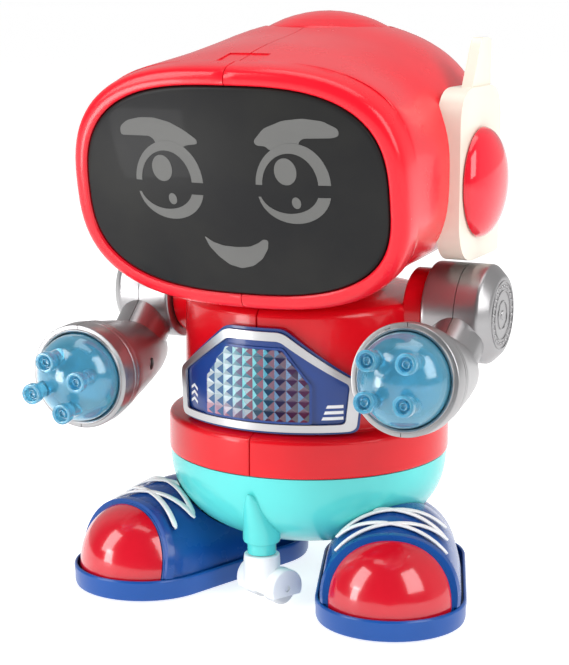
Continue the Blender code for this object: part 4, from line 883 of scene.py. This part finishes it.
def link(side, grow):
    """The round neck between the drum and the forearm."""
    return rod(0.0092 + grow, (side * ARM_MIDDLE, 0, 0), (side * ARM_MIDDLE, -0.0230, -0.0185),
               64)


def build_arm(side_name, side):
    place = arm_place(side_name)
    body = "arm_" + side_name
    whole = combined(drum(side, 0), link(side, 0), "UNION")
    whole = combined(whole, forearm(side, 0, FOREARM_FRONT, True), "UNION")
    hollow = combined(drum(side, -WALL), link(side, -WALL), "UNION")
    hollow = combined(hollow, forearm(side, -WALL, 0.06), "UNION")
    whole = combined(whole, hollow, "DIFFERENCE")
    for half, cut_side in (("outer", -side), ("inner", side)):
        shell = whole.copy()
        limit = side * ARM_MIDDLE - cut_side * 0.00012
        shell = combined(shell, box((0.2, 0.3, 0.3), (limit + cut_side * 0.1, 0, 0)),
                         "DIFFERENCE")
        if half == "inner":
            shell = combined(shell, rod(0.0043, (side * 0.03, 0, 0), (side * 0.05, 0, 0), 32,
                                        1e-5), "DIFFERENCE")
            hole = rod(0.0021, (side * 0.035, -0.0330, -FOREARM_DROP),
                       (side * 0.052, -0.0330, -FOREARM_DROP), 32, 1e-5)
            shell = combined(shell, hole, "DIFFERENCE")
        piece("arm_%s_casing_%s" % (half, side_name), shell, "arm_silver", body,
              ["arm_shell_%s_%s" % (half, side_name)], at=place, smooth=30)
    whole.free()
    build_roundel(side_name, side, place)
    build_muzzle(side_name, side)


def build_roundel(side_name, side, place):
    """Concentric rings and a ring of beads on the drum's end, a plain ornament."""
    turn = Matrix.Translation((side * DRUM_OUTER, 0, 0)) @ Matrix.Rotation(
        side * math.radians(90), 4, "Y")
    rings = []
    for radius, width in ((0.0107, 0.0005), (0.0078, 0.0004), (0.0043, 0.0005)):
        rings.append(turned(fillet([(radius, -0.0002), (radius + width, -0.0002),
                                    (radius + width, 0.0003), (radius, 0.0003)], 0.0002, 2,
                                   closed=True), 64))
    for k in range(24):
        angle = 2 * math.pi * k / 24
        rings.append(ball((0.0094 * math.cos(angle), 0.0094 * math.sin(angle), -0.0002),
                          0.0007, 12))
    rings.append(turned([(0, 0.0003), (0.0014, 0.0003), (0.0017, -0.0002), (0, -0.0002)], 32))
    roundel = joined(*rings)
    piece("drum_roundel_" + side_name, turned_to(roundel, turn), "arm_silver",
          "arm_" + side_name, at=place)


def build_muzzle(side_name, side):
    front = arm_place(side_name) @ Matrix.Translation(
        (side * ARM_MIDDLE, -FOREARM_FRONT, -FOREARM_DROP))
    bezel = turned(fillet([(DOME_RADIUS + 0.0003, -0.0016), (DOME_RADIUS + 0.0003, 0.0002),
                           (RING_RADIUS - 0.0016, 0.0006), (RING_RADIUS - 0.0012, -0.0003),
                           (RING_RADIUS - 0.0012, -0.0016)], 0.0002, 3, closed=True), 96)
    piece("muzzle_bezel_" + side_name,
          turned_to(bezel, Matrix.Rotation(math.radians(90), 4, "X")), "arm_silver",
          "arm_" + side_name, at=front)
    place = front @ Matrix.Rotation(math.radians(BARREL_ROLL[side_name]), 4, "Y")
    wall = 0.0014
    outer, inner = [], []
    for k in range(19):
        angle = math.radians(90 - 5 * k)
        outer.append((DOME_RADIUS * math.cos(angle), DOME_HEIGHT * math.sin(angle)))
        inner.append(((DOME_RADIUS - wall) * math.cos(angle),
                      (DOME_HEIGHT - wall) * math.sin(angle)))
    outer[0], inner[0] = (0, DOME_HEIGHT), (0, DOME_HEIGHT - wall)
    profile = outer + [(DOME_RADIUS, -0.0022), (DOME_RADIUS - wall, -0.0022)]
    dome = turned(profile + list(reversed(inner)), 96)
    for i in range(4):
        across = 0.0061 * (1 if i % 2 else -1)
        up = 0.0061 * (1 if i < 2 else -1)
        tube = fillet([(0, BARREL_TIP - 0.0016), (0.0008, BARREL_TIP - 0.0016),
                       (0.0009, BARREL_TIP - 0.0008), (0.0013, BARREL_TIP - 0.0008),
                       (0.0014, BARREL_TIP - 0.0020), (0.0021, BARREL_TIP - 0.0020),
                       (0.0022, BARREL_TIP), (0.0033, BARREL_TIP),
                       (0.0034, BARREL_TIP - 0.0024), (0.0027, BARREL_TIP - 0.0030),
                       (0.0026, BARREL_TIP - 0.0050), (0.0029, 0.0072), (0, 0.0072)],
                      0.0003, 3)
        dome = combined(dome, moved(turned(tube, 40), (across, up, 0)), "UNION")
    dome = turned_to(dome, Matrix.Rotation(math.radians(90), 4, "X"))
    piece("muzzle_cover_" + side_name, dome, "muzzle_blue", "muzzle_" + side_name,
          ["muzzle_dome_" + side_name], at=place, smooth=35)


# ---------------------------------------------------------------- shoes

FOOT_CENTRE = (0.0368, -0.0145)
FOOT_SPLAY = math.radians(19.5)
FOOT_LENGTH, FOOT_WIDTH = 0.0466, 0.0240
SOLE_BOTTOM, SOLE_TOP, SOLE_FLOOR = 0.0005, 0.0075, 0.0025
INSET = 0.0014
CAP_BASE, CAP_LEAN = -0.0336, math.radians(12.0)
CROWN_PLACE = -0.0250
LACES = ((42.0, 138.0, -0.0250, -0.0165), (44.0, 136.0, -0.0165, -0.0090))


def upper_section(along):
    end = FOOT_LENGTH - FOOT_WIDTH
    radius = FOOT_WIDTH - INSET
    past = max(abs(along) - end, 0) / radius
    half_width = radius * math.sqrt(max(1 - past ** 2, 0)) * (1 - 2.5 * max(along, 0))
    if along < CROWN_PLACE:
        reach = (CROWN_PLACE - along) / (CROWN_PLACE + end + radius)
        return half_width, 0.0210 * max(1 - reach ** 2.2, 0) ** (1 / 2.2)
    reach = (along - CROWN_PLACE) / (end + radius - CROWN_PLACE)
    height = 0.0210 + 0.0045 * math.sin(math.pi * min(reach * 1.7, 1.0))
    return half_width, height * math.sqrt(max(1 - reach ** 6, 0))


def arch_point(along, inset, base, degrees):
    half_width, height = upper_section(along)
    half_width, height = max(half_width - inset, 0.0004), max(height - inset, 0.0004)
    c, s = math.cos(math.radians(degrees)), math.sin(math.radians(degrees))
    across = math.copysign(abs(c) ** (2 / 2.15), c) * half_width
    return across, along, base + abs(s) ** (2 / 2.15) * (SOLE_TOP + height - base)


def shoe_form(places, inset, base=SOLE_TOP - 0.0022, steps=44):
    rows = [[arch_point(along, inset, base, 180 * i / steps) for i in range(steps + 1)]
            for along in places]
    return skin(rows, wrap=True, cap=True)


def slab(start, end):
    """A block between two planes that lean back like the back of the toe cap."""
    bm = box((0.08, end - start, 0.12), (0, (start + end) / 2, 0))
    return turned_to(bm, Matrix.Translation((0, CAP_BASE, SOLE_TOP))
                     @ Matrix.Rotation(-CAP_LEAN, 4, "X"))


def spaced(start, end, steps):
    return [start + (end - start) * i / steps for i in range(steps + 1)]


def crowding(start, end, steps):
    return [end + (start - end) * math.cos(math.radians(90 * i / steps))
            for i in range(steps + 1)]


def stadium(half_length, half_width, steps=32):
    end = half_length - half_width
    points = []
    for centre, first in ((end, 0), (-end, 180)):
        for i in range(steps + 1):
            angle = math.radians(first + 180 * i / steps)
            points.append((half_width * math.cos(angle), centre + half_width * math.sin(angle)))
    return points


def build_shoe(side_name, side):
    place = Matrix.Translation((side * FOOT_CENTRE[0], FOOT_CENTRE[1] + AXIS_Y, 0)) \
        @ Matrix.Rotation(side * FOOT_SPLAY, 4, "Z")
    to_foot = place.inverted() @ BODY
    pelvis = [(0, 0.09), (BELT_RADIUS + GAP, 0.09), (BELT_RADIUS + GAP, BELT_BOTTOM - GAP)]
    pelvis += [(r + GAP, z - GAP) for r, z in bowl_profile(0)[:-1]] + [(0, 0.0140)]

    def clear_of_pelvis(bm):
        return combined(bm, turned_to(turned(pelvis, 128), to_foot), "DIFFERENCE")

    tip = FOOT_LENGTH - INSET - 0.0002
    places = crowding(-tip, CROWN_PLACE, 14)[:-1] + spaced(CROWN_PLACE, 0.0200, 16)
    places += list(reversed(crowding(tip, 0.0225, 10)))
    upper = shoe_form(places, 0)
    upper = combined(upper, slab(-0.08, GAP), "DIFFERENCE")
    ridge = shoe_form(crowding(-tip, -0.0300, 10) + spaced(-0.0290, -0.0080, 12), -0.0010,
                      SOLE_TOP + 0.0002)
    ridge = combined(ridge, slab(2 * GAP, 0.0028), "INTERSECT")
    upper = combined(upper, ridge, "UNION")
    hollow = moved(shoe_form(places[:-6] + [tip - 0.004], WALL), (0, 0, -0.0006))
    upper = combined(upper, hollow, "DIFFERENCE")
    upper = clear_of_pelvis(upper)
    piece("shoe_top_" + side_name, upper, "shoe_blue", "torso", ["shoe_upper_" + side_name],
          at=place, smooth=30)

    places = crowding(-tip, -0.0200, 26)
    cap = shoe_form(places, 0.0004, steps=56)
    cap = combined(cap, slab(0, 0.06), "DIFFERENCE")
    hollow = moved(shoe_form([p + 0.0012 for p in places], 0.0022), (0, 0, -0.0006))
    cap = combined(cap, hollow, "DIFFERENCE")
    piece("toe_shell_" + side_name, cap, "toe_red", "torso", ["toe_cap_" + side_name],
          at=place, smooth=30)
    build_sole(side_name, side, place)
    build_laces(side_name, side, place, clear_of_pelvis)


def build_sole(side_name, side, place):
    rows = []
    for grow, z in ((-0.0012, SOLE_BOTTOM), (-0.0003, SOLE_BOTTOM + 0.0003),
                    (0, SOLE_BOTTOM + 0.0012), (0, 0.0040), (0.0002, 0.0058),
                    (0.0002, SOLE_TOP - 0.0006), (-0.0001, SOLE_TOP - 0.0001),
                    (-0.0005, SOLE_TOP), (-INSET + 2 * GAP + 0.0002, SOLE_TOP),
                    (-INSET + 2 * GAP, SOLE_TOP - 0.0002), (-INSET + 2 * GAP, SOLE_FLOOR)):
        rows.append([(x, y, z) for x, y in stadium(FOOT_LENGTH + grow, FOOT_WIDTH + grow)])
    sole = skin(rows, cap=True)
    slot = box((0.0104, 0.0190, 0.02), (side * 0.0017, 0.0100, 0))
    sole = combined(sole, slot, "DIFFERENCE")
    for y in (-0.0340, -0.0280, -0.0220, -0.0160, -0.0100, 0.0270, 0.0330):
        tread = box((0.0270, 0.0014, 0.0012), (0, y, SOLE_BOTTOM))
        sole = combined(sole, tread, "DIFFERENCE")
    piece("shoe_base_" + side_name, sole, "sole_blue", "torso", ["shoe_sole_" + side_name],
          at=place, smooth=30)


def build_laces(side_name, side, place, clear_of_pelvis):
    """Flat raised laces that cross over the shoe, with rounded ends."""
    laces = None
    for start, end, first, last in LACES:
        for low, high in ((first, last), (last, first)):
            rows, count = [], 40
            for i in range(count + 1):
                share = i / count
                along = low + (high - low) * share
                degrees = start + (end - start) * share
                here = Vector(arch_point(along, 0, SOLE_TOP, degrees))
                ahead = Vector(arch_point(along + (high - low) * 0.01, 0, SOLE_TOP,
                                          degrees + (end - start) * 0.01))
                out = (Vector(arch_point(along, -0.001, SOLE_TOP, degrees)) - here).normalized()
                way = (ahead - here).normalized()
                side_way = way.cross(out).normalized()
                close = min(share, 1 - share) * count
                width = 0.00105 * math.sqrt(min(1.0, (close + 0.15) / 1.6))
                row = []
                for k in range(12):
                    angle = 2 * math.pi * k / 12
                    row.append(here + out * (0.00085 + 0.00055 * math.sin(angle))
                               + side_way * width * math.cos(angle))
                rows.append(row)
            strand = skin(rows, cap=True)
            laces = strand if laces is None else combined(laces, strand, "UNION")
    laces = clear_of_pelvis(laces)
    piece("shoe_lacing_" + side_name, laces, "lace_white", "torso",
          ["shoe_laces_" + side_name], at=place, smooth=60)


# ---------------------------------------------------------------- caster

def build_caster():
    swivel = JOINTS["caster_swivel"]["pos_m"]
    axis = JOINTS["roller_spin"]["axis"]
    turn = math.atan2(axis[1], axis[0])
    place = Matrix.Translation((swivel[0], swivel[1], 0)) @ Matrix.Rotation(turn, 4, "Z")
    trail, radius = 0.0030, 0.0046
    half = 0.0062 + 0.0036
    stem = fillet([(0, 0.0232), (0.0029, 0.0232), (0.0029, 0.0163), (0.0058, 0.0163),
                   (0.0060, 0.0140), (0.0060, 0.0050), (0, 0.0050)], 0.0005, 3)
    hood = turned(stem, 64)
    lobe = fillet([(0, -half), (0.0060, -half), (0.0062, -half + 0.0006), (0.0062, -0.0048),
                   (0.0056, -0.0040), (0.0056, 0.0040), (0.0062, 0.0048),
                   (0.0062, half - 0.0006), (0.0060, half), (0, half)], 0.0006, 3)
    lobes = turned_to(turned(lobe, 64), Matrix.Translation((0, trail, 0.0060))
                      @ Matrix.Rotation(math.radians(90), 4, "Y"))
    hood = combined(hood, lobes, "UNION")
    pocket = rod(radius + 0.0004, (-half + 0.0010, trail, radius),
                 (half - 0.0010, trail, radius), 48, 1e-5)
    hood = combined(hood, pocket, "DIFFERENCE")
    hood = combined(hood, box((0.04, 0.04, 0.02), (0, 0, 0.0034 - 0.01)), "DIFFERENCE")
    hole = rod(0.0011, (half - 0.0008, trail, radius + 0.0012),
               (half + 0.002, trail, radius + 0.0012), 24, 1e-5)
    hood = combined(hood, hole, "DIFFERENCE")
    piece("caster_cover", hood, "caster_white", "caster", ["caster_hood"], at=place, smooth=30)
    end = half - 0.0013
    roller = fillet([(0, end), (0.0036, end), (radius, end - 0.0010), (radius, 0.0024),
                     (0.0036, 0.0014), (0.0036, -0.0014), (radius, -0.0024),
                     (radius, -end + 0.0010), (0.0036, -end), (0, -end)], 0.0004, 3)
    wheels = turned_to(turned(roller, 64), Matrix.Translation((0, trail, radius))
                       @ Matrix.Rotation(math.radians(90), 4, "Y"))
    piece("caster_wheels", wheels, "roller_nylon", "rollers", ["caster_rollers"], at=place)


# ---------------------------------------------------------------- whole robot

slot_of = {entry["node"]: entry["material_slot"] for entry in frame["record"]["subparts"]}
for node_name, node in frame["nodes"].items():
    node.data.materials.clear()
    node.data.materials.append(LOOKS[slot_of[node_name]])
    node.data.shade_smooth()
    node.data.set_sharp_from_angle(angle=math.radians(32))

build_head()
build_torso()
for each_name, each_side in SIDES.items():
    build_arm(each_name, each_side)
    build_shoe(each_name, each_side)
build_caster()


# ---------------------------------------------------------------- studio

def build_studio():
    scene = bpy.context.scene
    floor_bm = bmesh.new()
    bmesh.ops.create_grid(floor_bm, x_segments=1, y_segments=1, size=30.0)
    mesh = bpy.data.meshes.new("floor")
    floor_bm.to_mesh(mesh)
    floor_bm.free()
    floor = bpy.data.objects.new("floor", mesh)
    scene.collection.objects.link(floor)
    mesh.materials.append(material("pale_floor", (0.55, 0.55, 0.55), 0.7, vary=0.004,
                                   Emission_Color=(1, 1, 1, 1), Emission_Strength=0.80))
    floor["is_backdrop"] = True

    world = bpy.data.worlds.new("studio")
    world.use_nodes = True
    tree = world.node_tree
    place = tree.nodes.new("ShaderNodeTexCoord")
    split = tree.nodes.new("ShaderNodeSeparateXYZ")
    room = tree.nodes.new("ShaderNodeValToRGB")
    band = room.color_ramp
    band.elements[0].position, band.elements[1].position = 0.42, 0.62
    band.elements[0].color = (0.10, 0.10, 0.105, 1)
    band.elements[1].color = (0.50, 0.50, 0.50, 1)
    spread = tree.nodes.new("ShaderNodeMapRange")
    spread.inputs["From Min"].default_value = -1
    tree.links.new(place.outputs["Generated"], split.inputs[0])
    tree.links.new(split.outputs["Y"], spread.inputs["Value"])
    tree.links.new(spread.outputs["Result"], room.inputs["Fac"])
    tree.links.new(room.outputs["Color"], tree.nodes["Background"].inputs["Color"])
    tree.nodes["Background"].inputs["Strength"].default_value = 1.0
    scene.world = world

    def light(name, place, target, size, power):
        data = bpy.data.lights.new(name, "AREA")
        data.shape = "RECTANGLE"
        data.size, data.size_y = size
        data.energy = power
        lamp = bpy.data.objects.new(name, data)
        lamp.location = place
        lamp.rotation_euler = (Vector(target) - Vector(place)).to_track_quat(
            "-Z", "Y").to_euler()
        scene.collection.objects.link(lamp)

    light("left_softbox", (-0.80, -0.80, 0.70), (0, 0, 0.08), (0.55, 0.90), 9)
    light("right_softbox", (0.95, -0.35, 0.70), (0, 0, 0.10), (0.60, 0.90), 9)
    light("top_softbox", (0.0, 0.05, 1.30), (0, 0, 0.1), (0.9, 0.9), 6)
    light("low_strip", (-0.26, -0.34, 0.07), (0, 0, 0.07), (0.10, 0.13), 0.4)


def build_camera():
    away, side_turn = math.radians(23.7), math.radians(24.5)
    pitch, distance, height = math.radians(11.27), 0.598, 0.202
    data = bpy.data.cameras.new("camera")
    data.sensor_fit = "HORIZONTAL"
    data.sensor_width = 36.0
    data.lens = 113.9
    camera = bpy.data.objects.new("camera", data)
    camera.location = (distance * math.sin(away), AXIS_Y - distance * math.cos(away), height)
    forward = Vector((-math.sin(side_turn) * math.cos(pitch),
                      math.cos(side_turn) * math.cos(pitch), -math.sin(pitch)))
    camera.rotation_euler = forward.to_track_quat("-Z", "Y").to_euler()
    bpy.context.scene.collection.objects.link(camera)
    bpy.context.scene.camera = camera
    bpy.context.scene.view_settings.view_transform = "Standard"


build_studio()
build_camera()


def plain(values):
    return [plain(v) if hasattr(v, "__len__") else float(v) for v in values]


{"cad": plain(CAD_BOX), "visual": plain(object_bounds())}
